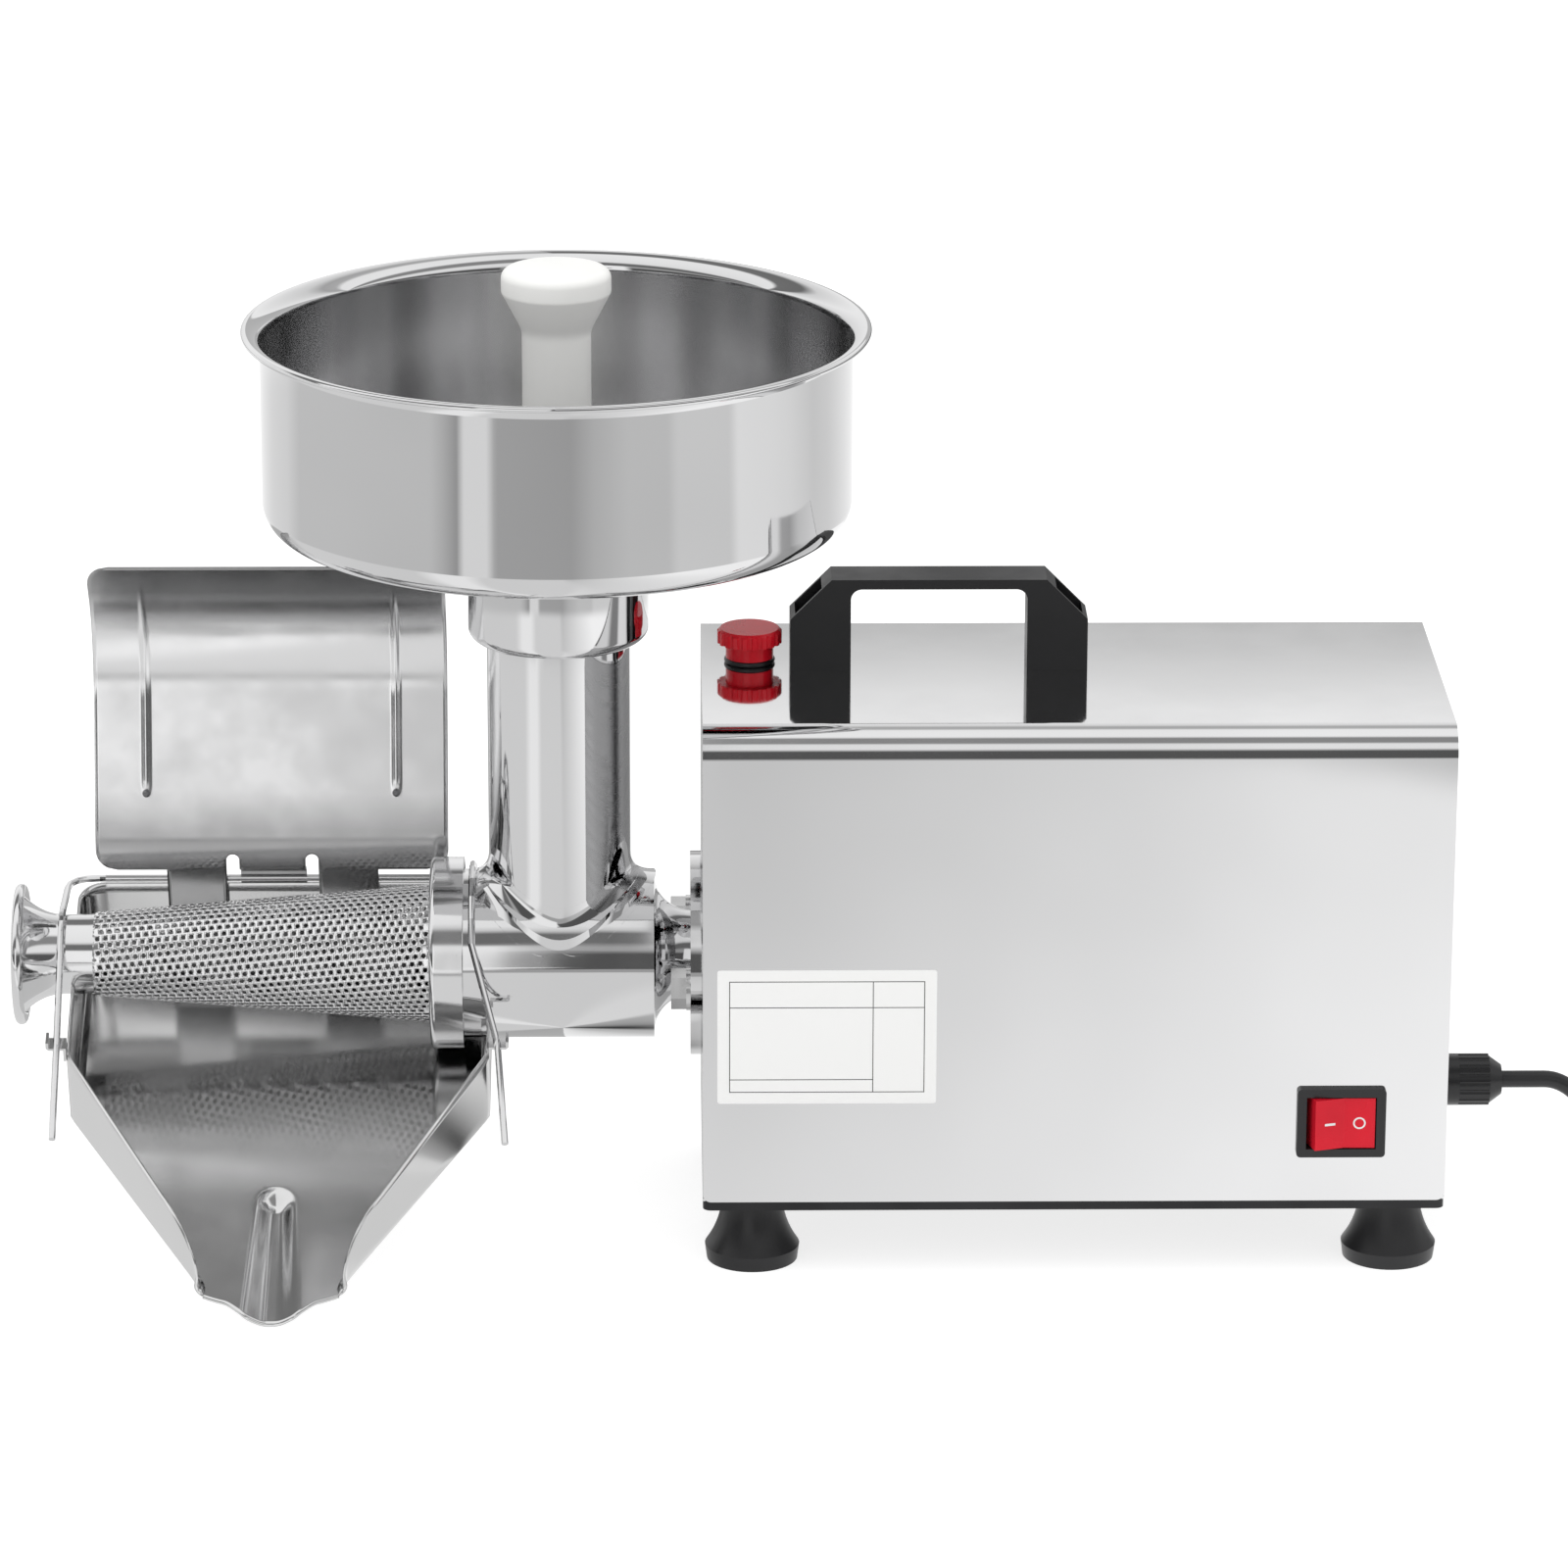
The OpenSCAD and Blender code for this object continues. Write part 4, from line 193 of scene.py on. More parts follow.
class CordSettings(bpy.types.PropertyGroup):
    """Mains cord, in millimetres"""
    diameter: length("Diameter", "Diameter of the cord", 6.3)
    coil_radius: length("Coil radius", "Outer radius of the lower turns", 44.5)
    turns_in: FloatProperty(name="Turns in", description="Turns of the lower layer", default=3.0, min=1.0)
    turns_out: FloatProperty(name="Turns out", description="Turns of the upper layer", default=3.25, min=1.0)
    coil_step: length("Coil step", "Distance between neighbouring turns", 6.8)
    coil_rise: length("Coil rise", "Height between the two layers", 6.9)


class LabelSettings(bpy.types.PropertyGroup):
    """Blank label on the front, in millimetres"""
    left: length("Left", "Distance from the press side", 5.2)
    bottom: length("Bottom", "Height of the lower edge above the table", 66.2)
    width: length("Width", "Width of the label", 78.6)
    height: length("Height", "Height of the label", 50.8)


# Places

AXIS_HEIGHT = 99.0


def machine(points):
    """Millimetres from the housing's press side, its middle and the table, to metres in the frame"""
    return np.asarray(points, float) * MM + MACHINE_ZERO


def head(points):
    """Local x is up, y is back and z runs from the housing along the press axis"""
    p = np.asarray(points, float)
    return machine(np.stack([-p[..., 2], p[..., 1], p[..., 0] + AXIS_HEIGHT], -1))


def upright(centre_x, centre_y):
    """Local z is up, round a vertical axis at a place on the machine"""
    def placed(points):
        """Moves points to the axis"""
        return machine(np.asarray(points, float) + np.array([centre_x, centre_y, 0.0]))
    return placed


def tray_place(points):
    """The tray's frame: x along the cone, y up the slope, z square to the floor"""
    t = bpy.context.scene.press_tray
    p = np.asarray(points, float)
    c, s = math.cos(t.tilt), math.sin(t.tilt)
    level_y = p[..., 1] * c - p[..., 2] * s
    level_z = p[..., 1] * s + p[..., 2] * c + AXIS_HEIGHT
    return machine(np.stack([p[..., 0] - t.place, level_y, level_z], -1))


# Surfaces

def grid_faces(rows, columns, close_rows=False, close_columns=False):
    """Quads between neighbours of a grid of rows and columns, which may close on itself"""
    index = np.arange(rows * columns).reshape(rows, columns)
    if close_rows:
        index = np.vstack([index, index[:1]])
    if close_columns:
        index = np.hstack([index, index[:, :1]])
    return np.stack([index[:-1, :-1], index[1:, :-1], index[1:, 1:], index[:-1, 1:]], -1).reshape(-1, 4)


def rounded(corners, radii, steps=6, closed=True):
    """A line whose corners turn on arcs: the arc of radius r touches both sides of its corner at
    r / tan(half the corner's angle)"""
    corners = np.asarray(corners, float)
    radii = np.maximum(np.broadcast_to(np.asarray(radii, float), len(corners)), 1e-3)
    back = np.roll(corners, 1, 0) - corners
    on = np.roll(corners, -1, 0) - corners
    back /= np.linalg.norm(back, axis=1, keepdims=True)
    on /= np.linalg.norm(on, axis=1, keepdims=True)
    half = np.arccos(np.clip((back * on).sum(1), -1, 1)) / 2
    middle = back + on
    middle /= np.maximum(np.linalg.norm(middle, axis=1, keepdims=True), 1e-9)
    centre = corners + middle * (radii / np.sin(half))[:, None]
    reach = (radii / np.tan(half))[:, None]
    first = corners + back * reach - centre
    second = corners + on * reach - centre
    t = np.linspace(0, 1, steps)[None, :, None]
    swing = np.maximum(math.pi - 2 * half, 1e-4)[:, None, None]
    turn = np.sin((1 - t) * swing) * first[:, None] + np.sin(t * swing) * second[:, None]
    arcs = centre[:, None] + turn / np.sin(swing)
    if closed:
        return arcs.reshape(-1, 2)
    return np.vstack([corners[:1], arcs[1:-1].reshape(-1, 2), corners[-1:]])


def turned(profile, steps, closed=True):
    """Surface of revolution: a profile point (r, h) at angle a stands at (r cos a, r sin a, h)"""
    a = np.linspace(0, 2 * math.pi, steps, endpoint=False)
    r, h = profile[:, 0], profile[:, 1]
    level = np.broadcast_to(h, (steps, len(h)))
    points = np.stack([np.outer(np.cos(a), r), np.outer(np.sin(a), r), level], -1)
    return points.reshape(-1, 3), grid_faces(steps, len(h), close_rows=True, close_columns=closed)


def swept(path, radius, sides, hint):
    """Tube: each ring lies square to the path's heading d, on the axes u = hint x d and v = d x u, and a
    ring of no size closes each end"""
    path = np.asarray(path, float)
    heading = np.gradient(path, axis=0)
    heading /= np.linalg.norm(heading, axis=1, keepdims=True)
    u = np.cross(np.asarray(hint, float), heading)
    u /= np.linalg.norm(u, axis=1, keepdims=True)
    v = np.cross(heading, u)
    a = np.linspace(0, 2 * math.pi, sides, endpoint=False)
    rows, u, v = (np.concatenate([line[:1], line, line[-1:]]) for line in (path, u, v))
    size = np.full(len(rows), radius)
    size[[0, -1]] = 0.0
    ring = np.cos(a)[None, :, None] * u[:, None] + np.sin(a)[None, :, None] * v[:, None]
    points = rows[:, None] + size[:, None, None] * ring
    return points.reshape(-1, 3), grid_faces(len(rows), sides, close_columns=True)


def bezier(a, b, c, d, steps):
    """Cubic curve from a to d, pulled towards b and c"""
    t = np.linspace(0, 1, steps)[:, None]
    a, b, c, d = (np.asarray(p, float) for p in (a, b, c, d))
    return (1 - t) ** 3 * a + 3 * (1 - t) ** 2 * t * b + 3 * (1 - t) * t ** 2 * c + t ** 3 * d


def joined(*parts):
    """Several surfaces as one: the face numbers of each follow on from the last"""
    count, points, faces = 0, [], []
    for p, f in parts:
        points.append(p)
        faces.append(f + count)
        count += len(p)
    return np.vstack(points), np.vstack(faces)


def wide_quads(points, quads, least=0.003):
    """The quads whose diagonals' cross product, twice their area, is longer than the least in square
    millimetres, so that none is a sliver"""
    corners = points[quads]
    across = np.cross(corners[:, 2] - corners[:, 0], corners[:, 3] - corners[:, 1])
    return quads[np.linalg.norm(across, axis=1) > least]


def piece(name, points, faces, finish, body, stands_for=(), sharp=40.0, wall=0.0, closed=True):
    """Puts a surface into the scene, welds its seams and poles, shades it and lets it ride on its body. A
    wall in millimetres thickens the sheet behind its faces"""
    mesh = bpy.data.meshes.new(name)
    corners = faces if isinstance(faces, list) else faces.tolist()
    mesh.from_pydata(np.asarray(points, float).tolist(), [], corners)
    weld(mesh, closed)
    mesh.polygons.foreach_set("use_smooth", np.ones(len(mesh.polygons), bool))
    mesh.set_sharp_from_angle(angle=math.radians(sharp))
    mesh.materials.append(finish)
    made = bpy.data.objects.new(name, mesh)
    bpy.context.scene.collection.objects.link(made)
    if wall:
        shell = made.modifiers.new("wall", "SOLIDIFY")
        shell.thickness = wall * MM
        shell.offset = -1.0
    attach(made, body)
    if stands_for:
        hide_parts(*stands_for)
    return made


def weld(mesh, closed):
    """Joins points that lie on one another, so that seams and poles are closed, and turns a closed skin's
    faces outwards"""
    seam = 0.002 * MM
    bm = bmesh.new()
    bm.from_mesh(mesh)
    bmesh.ops.remove_doubles(bm, verts=bm.verts, dist=seam)
    if closed:
        bmesh.ops.recalc_face_normals(bm, faces=bm.faces)
    bm.to_mesh(mesh)
    bm.free()


def smooth_step(x):
    """From 0 to 1 on 3 x squared less 2 x cubed, and level outside"""
    x = np.clip(x, 0, 1)
    return x * x * (3 - 2 * x)


# Finishes

def finish(name, base, metallic, roughness):
    """A new material with its shader's plain values; returns it with its node tree and the shader"""
    made = bpy.data.materials.new(name)
    made.use_nodes = True
    made.diffuse_color = (*base, 1.0)
    shader = made.node_tree.nodes["Principled BSDF"]
    shader.inputs["Base Color"].default_value = (*base, 1.0)
    shader.inputs["Metallic"].default_value = metallic
    shader.inputs["Roughness"].default_value = roughness
    return made, made.node_tree, shader


def coordinates(tree, kind="Object"):
    """Sockets for x, y and z: the piece's own coordinates, or a world's direction where the kind says so"""
    place = tree.nodes.new("ShaderNodeTexCoord")
    split = tree.nodes.new("ShaderNodeSeparateXYZ")
    tree.links.new(place.outputs[kind], split.inputs["Vector"])
    return split.outputs["X"], split.outputs["Y"], split.outputs["Z"]


def noise(tree, scale, detail=3.0, stretch=(1.0, 1.0, 1.0), roughness=0.5):
    """Noise on object coordinates in metres; stretch makes grain, long along the axis with the smallest
    number"""
    place = tree.nodes.new("ShaderNodeTexCoord")
    mapping = tree.nodes.new("ShaderNodeMapping")
    mapping.inputs["Scale"].default_value = stretch
    texture = tree.nodes.new("ShaderNodeTexNoise")
    texture.inputs["Scale"].default_value = scale
    texture.inputs["Detail"].default_value = detail
    texture.inputs["Roughness"].default_value = roughness
    tree.links.new(place.outputs["Object"], mapping.inputs["Vector"])
    tree.links.new(mapping.outputs["Vector"], texture.inputs["Vector"])
    return texture.outputs["Fac"]


def between(tree, value, low, high, start=0.3, end=0.7):
    """Spreads a value of start to end over low to high"""
    node = tree.nodes.new("ShaderNodeMapRange")
    node.inputs["From Min"].default_value = start
    node.inputs["From Max"].default_value = end
    node.inputs["To Min"].default_value = low
    node.inputs["To Max"].default_value = high
    tree.links.new(value, node.inputs["Value"])
    return node.outputs["Result"]


def maths(tree, operation, a, b=0.0, c=0.0):
    """One step of arithmetic on numbers or sockets"""
    node = tree.nodes.new("ShaderNodeMath")
    node.operation = operation
    for socket, value in zip(node.inputs, (a, b, c)):
        if isinstance(value, (int, float)):
            socket.default_value = value
        else:
            tree.links.new(value, socket)
    return node.outputs[0]


def tinted(tree, shader, value, first, second):
    """Base colour that goes from the first to the second colour with the value"""
    node = tree.nodes.new("ShaderNodeMix")
    node.data_type = "RGBA"
    node.inputs["A"].default_value = (*first, 1.0)
    node.inputs["B"].default_value = (*second, 1.0)
    tree.links.new(value, node.inputs["Factor"])
    tree.links.new(node.outputs["Result"], shader.inputs["Base Color"])


def embossed(tree, shader, *layers):
    """Bumps of (height, strength, distance in metres), one on the other"""
    last = None
    for height, strength, distance in layers:
        node = tree.nodes.new("ShaderNodeBump")
        node.inputs["Strength"].default_value = strength
        node.inputs["Distance"].default_value = distance
        tree.links.new(height, node.inputs["Height"])
        if last:
            tree.links.new(last, node.inputs["Normal"])
        last = node.outputs["Normal"]
    tree.links.new(last, shader.inputs["Normal"])


def toned(colour, level):
    """A colour made lighter or darker, up to full white"""
    return tuple(min(1.0, part * level) for part in colour)


def steel(name, base, rough, grain=None, wave=0.0, wave_scale=18.0, spread=0.35):
    """Steel: fine noise, or grain along one axis, spreads the roughness, slow clouds darken the tone a
    little, and a slow wave in the bump bends the reflections"""
    made, tree, shader = finish(name, base, 1.0, rough)
    fine = noise(tree, 60.0 if grain else 40.0, 4.0, grain or (1.0, 1.0, 1.0))
    cloud = noise(tree, 9.0, 2.0)
    uneven = between(tree, fine, rough * (1 - spread), rough * (1 + spread))
    tree.links.new(uneven, shader.inputs["Roughness"])
    tinted(tree, shader, between(tree, cloud, 0.0, 1.0), toned(base, 0.93), base)
    layers = []
    if wave:
        layers.append((noise(tree, wave_scale, 1.0), wave, 0.002))
    layers.append((fine, 0.02 if grain else 0.015, 0.0002))
    embossed(tree, shader, *layers)
    return made


def guard_sheet(name, base):
    """Satin sheet with painted shade: the tone darkens towards the leaning strip and towards the foot; the
    tone follows the height above the table in metres, and slow clouds blur it"""
    strip_low, strip_high = 0.214, 0.230
    foot_low, foot_high, foot_share = 0.134, 0.152, 0.78
    painted_shade_share = 0.42
    made, tree, shader = finish(name, base, 1.0, 0.18)
    height = coordinates(tree)[2]
    strip = between(tree, height, 0.0, 1.0, strip_low, strip_high)
    foot = between(tree, height, 0.0, foot_share, foot_high, foot_low)
    cloud = between(tree, noise(tree, 9.0, 2.0), -0.08, 0.08)
    # painted shade: the darker of the strip's and the foot's height ramps, with random clouds added
    painted_shade_and_cloud = maths(tree, "ADD", maths(tree, "MAXIMUM", strip, foot), cloud)
    tinted(tree, shader, painted_shade_and_cloud, base, toned(base, painted_shade_share))
    tree.links.new(between(tree, noise(tree, 60.0, 4.0), 0.14, 0.24), shader.inputs["Roughness"])
    embossed(tree, shader, (noise(tree, 7.0, 1.0), 0.03, 0.002))
    return made


def brushed_pan(name, base):
    """Inside of the hopper: soft upright streaks in gloss and bump, the same streaks as painted highlights
    in the tone, and fine level rings from spinning in the bump"""
    dark_share, light_share = 0.62, 1.42
    made, tree, shader = finish(name, base, 1.0, 0.2)
    streaks = noise(tree, 26.0, 2.0, (1.0, 1.0, 0.12))
    rings = noise(tree, 300.0, 2.0, (0.04, 0.04, 1.0))
    painted_highlight_streak = between(tree, streaks, 0.0, 1.0, 0.35, 0.65)
    # painted highlights: upright streaks lighter and darker than the base colour
    tinted(tree, shader, painted_highlight_streak, toned(base, dark_share), toned(base, light_share))
    tree.links.new(between(tree, streaks, 0.16, 0.26), shader.inputs["Roughness"])
    embossed(tree, shader, (streaks, 0.06, 0.001), (rings, 0.02, 0.0002))
    return made


def plastic(name, base, rough, grain_scale=1400.0, grain=0.10, coat=0.0, lift=1.6, sheen=0.5):
    """Moulded plastic: a fine grain in the bump, and slightly uneven gloss and tone"""
    made, tree, shader = finish(name, base, 0.0, rough)
    shader.inputs["Coat Weight"].default_value = coat
    shader.inputs["Specular IOR Level"].default_value = sheen
    fine, cloud = noise(tree, grain_scale, 2.0), noise(tree, 35.0, 3.0)
    tree.links.new(between(tree, cloud, rough * 0.8, rough * 1.25), shader.inputs["Roughness"])
    tinted(tree, shader, between(tree, cloud, 0.0, 1.0), base, toned(base, lift))
    embossed(tree, shader, (cloud, 0.05, 0.0006), (fine, grain, 0.0001))
    return made


def casting(name, base, metallic, rough):
    """Sand or die cast metal: a grainy bump and mottled tone"""
    made, tree, shader = finish(name, base, metallic, rough)
    fine, cloud = noise(tree, 520.0, 4.0), noise(tree, 28.0, 3.0)
    tree.links.new(between(tree, fine, rough * 0.8, rough * 1.2), shader.inputs["Roughness"])
    tinted(tree, shader, between(tree, cloud, 0.0, 1.0), toned(base, 0.82), base)
    embossed(tree, shader, (fine, 0.25, 0.0003))
    return made


def ruled_label(name, base):
    """Blank paper label: dark rules where object coordinates lie within half a line of the frame, the
    column and the two rows"""
    settings = bpy.context.scene.press_label
    inset, half = 4.4 * MM, 0.16 * MM
    column_share, upper_share, lower_share = 0.71, 0.72, 0.18
    ink = (0.03, 0.03, 0.03)
    made, tree, shader = finish(name, base, 0.0, 0.42)
    x, _, z = coordinates(tree)
    left, low = MACHINE_ZERO[0] + settings.left * MM, settings.bottom * MM
    wide, high = settings.width * MM, settings.height * MM
    x0, x1, z0, z1 = left + inset, left + wide - inset, low + inset, low + high - inset
    column = left + wide * column_share

    def line(value, at, across, start, end):
        """1 where the value is at its line and the other coordinate between start and end"""
        near = maths(tree, "LESS_THAN", maths(tree, "ABSOLUTE", maths(tree, "SUBTRACT", value, at)), half)
        after = maths(tree, "GREATER_THAN", across, start - half)
        before = maths(tree, "LESS_THAN", across, end + half)
        return maths(tree, "MULTIPLY", near, maths(tree, "MULTIPLY", after, before))

    upright_lines = [line(x, at, z, z0, z1) for at in (x0, x1, column)]
    level_lines = [line(z, at, x, x0, x1) for at in (z0, z1, low + high * upper_share)]
    total = line(z, low + high * lower_share, x, x0, column)
    for extra in upright_lines + level_lines:
        total = maths(tree, "MAXIMUM", total, extra)
    tinted(tree, shader, total, base, ink)
    embossed(tree, shader, (noise(tree, 700.0, 3.0), 0.05, 0.0001))
    tree.links.new(between(tree, noise(tree, 30.0), 0.36, 0.48), shader.inputs["Roughness"])
    return made


FINISHES = {}


def mix_finishes():
    """Makes every finish once, from the palette. Steel: roughness, grain, wave, its scale, spread. Casting:
    metal share, roughness. Plastic: roughness, grain scale, grain, coat, lift of the tone, sheen"""
    palette = bpy.context.scene.press_palette
    tone = {key: tuple(getattr(palette, key)) for key in PaletteSettings.__annotations__}
    recipes = {
        "housing sheet": (steel, tone["sheet"], 0.055, None, 0.01, 5.0, 0.2),
        "mirror steel": (steel, tone["polished"], 0.045, None, 0.05, 22.0),
        "hopper steel": (steel, tone["polished"], 0.035, None, 0.015, 9.0),
        "screen steel": (steel, tone["screen"], 0.16, None, 0.02, 30.0),
        "end plate": (steel, tone["panel"], 0.24, (6.0, 0.4, 6.0), 0.02, 7.0),
        "ring steel": (steel, tone["sheet"], 0.09, None, 0.05, 40.0),
        "satin sheet": (steel, tone["satin"], 0.13, None, 0.01, 7.0, 0.2),
        "guard sheet": (guard_sheet, tone["guard"]),
        "pan inside": (brushed_pan, tone["inside"]),
        # darker copy of the inside's tone for the pan's bottom: painted shade in the bottom of the pan
        "pan floor": (steel, toned(tone["inside"], 0.68), 0.16, None, 0.01, 9.0, 0.2),
        "bail wire": (steel, tone["polished"], 0.10),
        "zinc plate": (steel, (0.26, 0.26, 0.27), 0.34, None, 0.05, 60.0),
        # near black base plate: painted shade for the shadow gap under the housing's front
        "base steel": (steel, (0.05, 0.05, 0.052), 0.45, None, 0.05, 60.0),
        "bright bolt": (steel, (0.70, 0.70, 0.70), 0.16, None, 0.04, 120.0),
        "ground steel": (steel, (0.56, 0.56, 0.57), 0.22, (6.0, 1.0, 1.0)),
        "core steel": (casting, (0.20, 0.20, 0.22), 0.9, 0.48),
        "auger steel": (casting, (0.42, 0.42, 0.42), 1.0, 0.38),
        "gear bronze": (steel, (0.62, 0.40, 0.17), 0.28),
        "case enamel": (casting, (0.16, 0.20, 0.24), 0.0, 0.42),
        "bell aluminium": (casting, (0.62, 0.63, 0.64), 1.0, 0.40),
        "black moulding": (plastic, tone["plastic_black"], 0.42),
        "black gloss": (plastic, tone["plastic_black"], 0.28, 900.0, 0.05),
        "foot rubber": (plastic, tone["rubber"], 0.38, 500.0, 0.12),
        "cord rubber": (plastic, tone["rubber"], 0.40, 1200.0, 0.10, 0.0, 2.4),
        "cap red": (plastic, tone["cap_red"], 0.26, 600.0, 0.04, 0.0, 1.25, 0.28),
        "rocker red": (plastic, tone["rocker_red"], 0.24, 300.0, 0.02, 0.0, 1.25, 0.22),
        "mark white": (plastic, (0.80, 0.80, 0.80), 0.40, 900.0, 0.02, 0.0, 1.05),
        "pusher white": (plastic, tone["pusher_white"], 0.36, 700.0, 0.06, 0.0, 1.04),
        "seal white": (plastic, (0.62, 0.62, 0.58), 0.55, 900.0, 0.1, 0.0, 1.1),
        "gasket paper": (plastic, (0.36, 0.27, 0.15), 0.85, 400.0, 0.3, 0.0, 1.2),
        "capacitor white": (plastic, (0.70, 0.70, 0.67), 0.35, 900.0, 0.05, 0.0, 1.05),
        "terminal ivory": (plastic, (0.68, 0.63, 0.50), 0.45, 900.0, 0.05, 0.0, 1.05),
        "pin nickel": (steel, (0.70, 0.66, 0.56), 0.18),
        "blank label": (ruled_label, tone["label_white"]),
    }
    for name, (maker, base, *numbers) in recipes.items():
        FINISHES[name] = maker(name, base, *numbers)


# Studio

def place_camera():
    """Camera where the photograph was taken from, level exposure and nothing but the plain view transform"""
    s = bpy.context.scene.press_studio
    scene = bpy.context.scene
    data = bpy.data.cameras.new("camera")
    data.lens, data.sensor_width = s.focal_length, 36.0
    camera = bpy.data.objects.new("camera", data)
    scene.collection.objects.link(camera)
    turn = Matrix.Rotation(-s.camera_turn, 4, "Z") @ Matrix.Rotation(math.pi / 2 - s.camera_pitch, 4, "X")
    camera.matrix_world = Matrix.Translation(s.camera_place) @ turn @ Matrix.Rotation(s.camera_roll, 4, "Z")
    scene.camera = camera
    scene.view_settings.view_transform = "Standard"


def ramp(tree, value, stops):
    """Grey levels at (place from 0 to 1, level), straight between them"""
    node = tree.nodes.new("ShaderNodeValToRGB")
    node.color_ramp.interpolation = "LINEAR"
    marks = node.color_ramp.elements
    while len(marks) > 1:
        marks.remove(marks[-1])
    for number, (place, level) in enumerate(stops):
        mark = marks[0] if number == 0 else marks.new(place)
        mark.position = place
        mark.color = (level, level, level, 1.0)
    tree.links.new(value, node.inputs["Fac"])
    return node.outputs["Color"]


def mixed(tree, factor, first, second):
    """First colour or grey level at factor 0, second at 1"""
    node = tree.nodes.new("ShaderNodeMix")
    node.data_type = "RGBA"
    for key, value in (("Factor", factor), ("A", first), ("B", second)):
        socket = node.inputs[key]
        if isinstance(value, (int, float)):
            socket.default_value = (value, value, value, 1.0) if socket.type == "RGBA" else value
        else:
            tree.links.new(value, socket)
    return node.outputs["Result"]


# What polished metal sees overhead: (degrees from the front horizon over the top to the back one, level),
# for the housing on the right and for the press head on the left
SKY_BANDS = [
    (0, 0.10), (16, 0.10), (21, 0.50), (26, 0.88), (43, 0.88), (50, 0.28), (68, 0.28), (75, 0.92),
    (80, 0.98), (108, 0.96), (115, 0.50), (126, 0.45), (136, 0.75), (161, 1.0), (162.55, 1.0),
    (162.8, 0.51), (180, 0.58),
]
HEAD_BANDS = [
    (0, 0.10), (17, 0.10), (22, 0.42), (26, 0.40), (32, 0.17), (44, 0.17), (49, 0.70), (54, 0.92),
    (75, 0.96), (108, 1.0), (114, 0.20), (134, 0.18), (142, 0.80), (161, 1.0), (180, 0.8),
]
# A bright window low in front on the left, in degrees aside and up: each pair fades from nothing to full
WINDOW_LEFT, WINDOW_RIGHT, WINDOW_TOP = (-30, -26), (-0.8, -1.6), (30, 26)
# What upright round metal sees on the table, (degrees round the feed tube from left behind over the front to
# right behind, level), near and further out
NEAR_BANDS = [
    (-180, 0.50), (-135, 0.48), (-119, 0.74), (-54, 0.74), (-45, 0.97), (-34, 0.97), (-27, 0.75), (6, 0.75),
    (12, 0.84), (30, 0.84), (36, 0.48), (50, 0.40), (66, 0.28), (76, 0.14), (86, 0.08), (90, 0.03),
    (95, 0.05), (104, 0.20), (119, 0.54), (140, 0.62), (180, 1.0),
]
FAR_BANDS = [
    (-180, 1.0), (-162, 0.96), (-140, 0.80), (-124, 0.76), (-114, 0.62), (-47, 0.60), (-42, 0.50),
    (-36, 0.34), (-34.5, 0.80), (-25, 0.80), (-22, 0.42), (6, 0.40), (14, 0.52), (27, 0.62), (42, 0.62),
    (46, 0.72),
    (68, 0.72), (72, 0.90), (88, 0.88), (98, 0.84), (115, 0.70), (127, 0.74), (142, 0.86), (165, 1.0),
]
# Where one of the table's panels gives way to the next, in metres from the feed tube or to its right
FAR_PANEL, DARK_ROOM, LEFT_SHEET = (0.72, 0.78), (1.5, 1.8), (1.15, 1.3)
FRONT_SHEET, LEFT_SIDE = (0.02, 0.08), (-0.04, -0.08)
DARK_LEVEL = 0.10


def light_the_room():
    """Even light on everything. Rays that a polished face sends out find a room of panels, and the camera
    finds white"""
    s = bpy.context.scene.press_studio
    world = bpy.data.worlds.new("studio room")
    bpy.context.scene.world = world
    world.use_nodes = True
    tree = world.node_tree
    x, y, z = coordinates(tree, "Generated")
    front = maths(tree, "MULTIPLY", y, -1.0)
    angle = maths(tree, "ARCTAN2", z, front)
    half_turn = maths(tree, "DIVIDE", angle, math.pi)
    right, left = (ramp(tree, half_turn, [(a / 180, level) for a, level in bands])
                   for bands in (SKY_BANDS, HEAD_BANDS))
    bands = mixed(tree, smooth_node(tree, x, 0.004, 0.0), right, left)
    aside = maths(tree, "ARCTAN2", x, front)
    window = 1.0
    for value, fade in ((aside, WINDOW_LEFT), (aside, WINDOW_RIGHT), (angle, WINDOW_TOP)):
        window = maths(tree, "MULTIPLY", window, smooth_node(tree, value, *np.radians(fade).tolist()))
    bands = mixed(tree, window, bands, 1.0)
    path = tree.nodes.new("ShaderNodeLightPath")
    plain = mixed(tree, path.outputs["Is Glossy Ray"], s.sky_level, bands)
    seen = maths(tree, "MAXIMUM", path.outputs["Is Camera Ray"], path.outputs["Is Transmission Ray"])
    tree.links.new(mixed(tree, seen, plain, 1.0), tree.nodes["Background"].inputs["Color"])


def hang_the_softbox():
    """One soft round lamp overhead, a little to the front left, that draws the shadow on the table"""
    data = bpy.data.lights.new("overhead softbox", "AREA")
    data.shape, data.size = "DISK", 1.6
    data.energy = bpy.context.scene.press_studio.key_power
    lamp = bpy.data.objects.new("overhead softbox", data)
    lamp.location = (-0.3, -0.5, 1.9)
    lamp.rotation_euler = (math.radians(14), math.radians(-9), 0)
    lamp.visible_glossy = False
    bpy.context.scene.collection.objects.link(lamp)


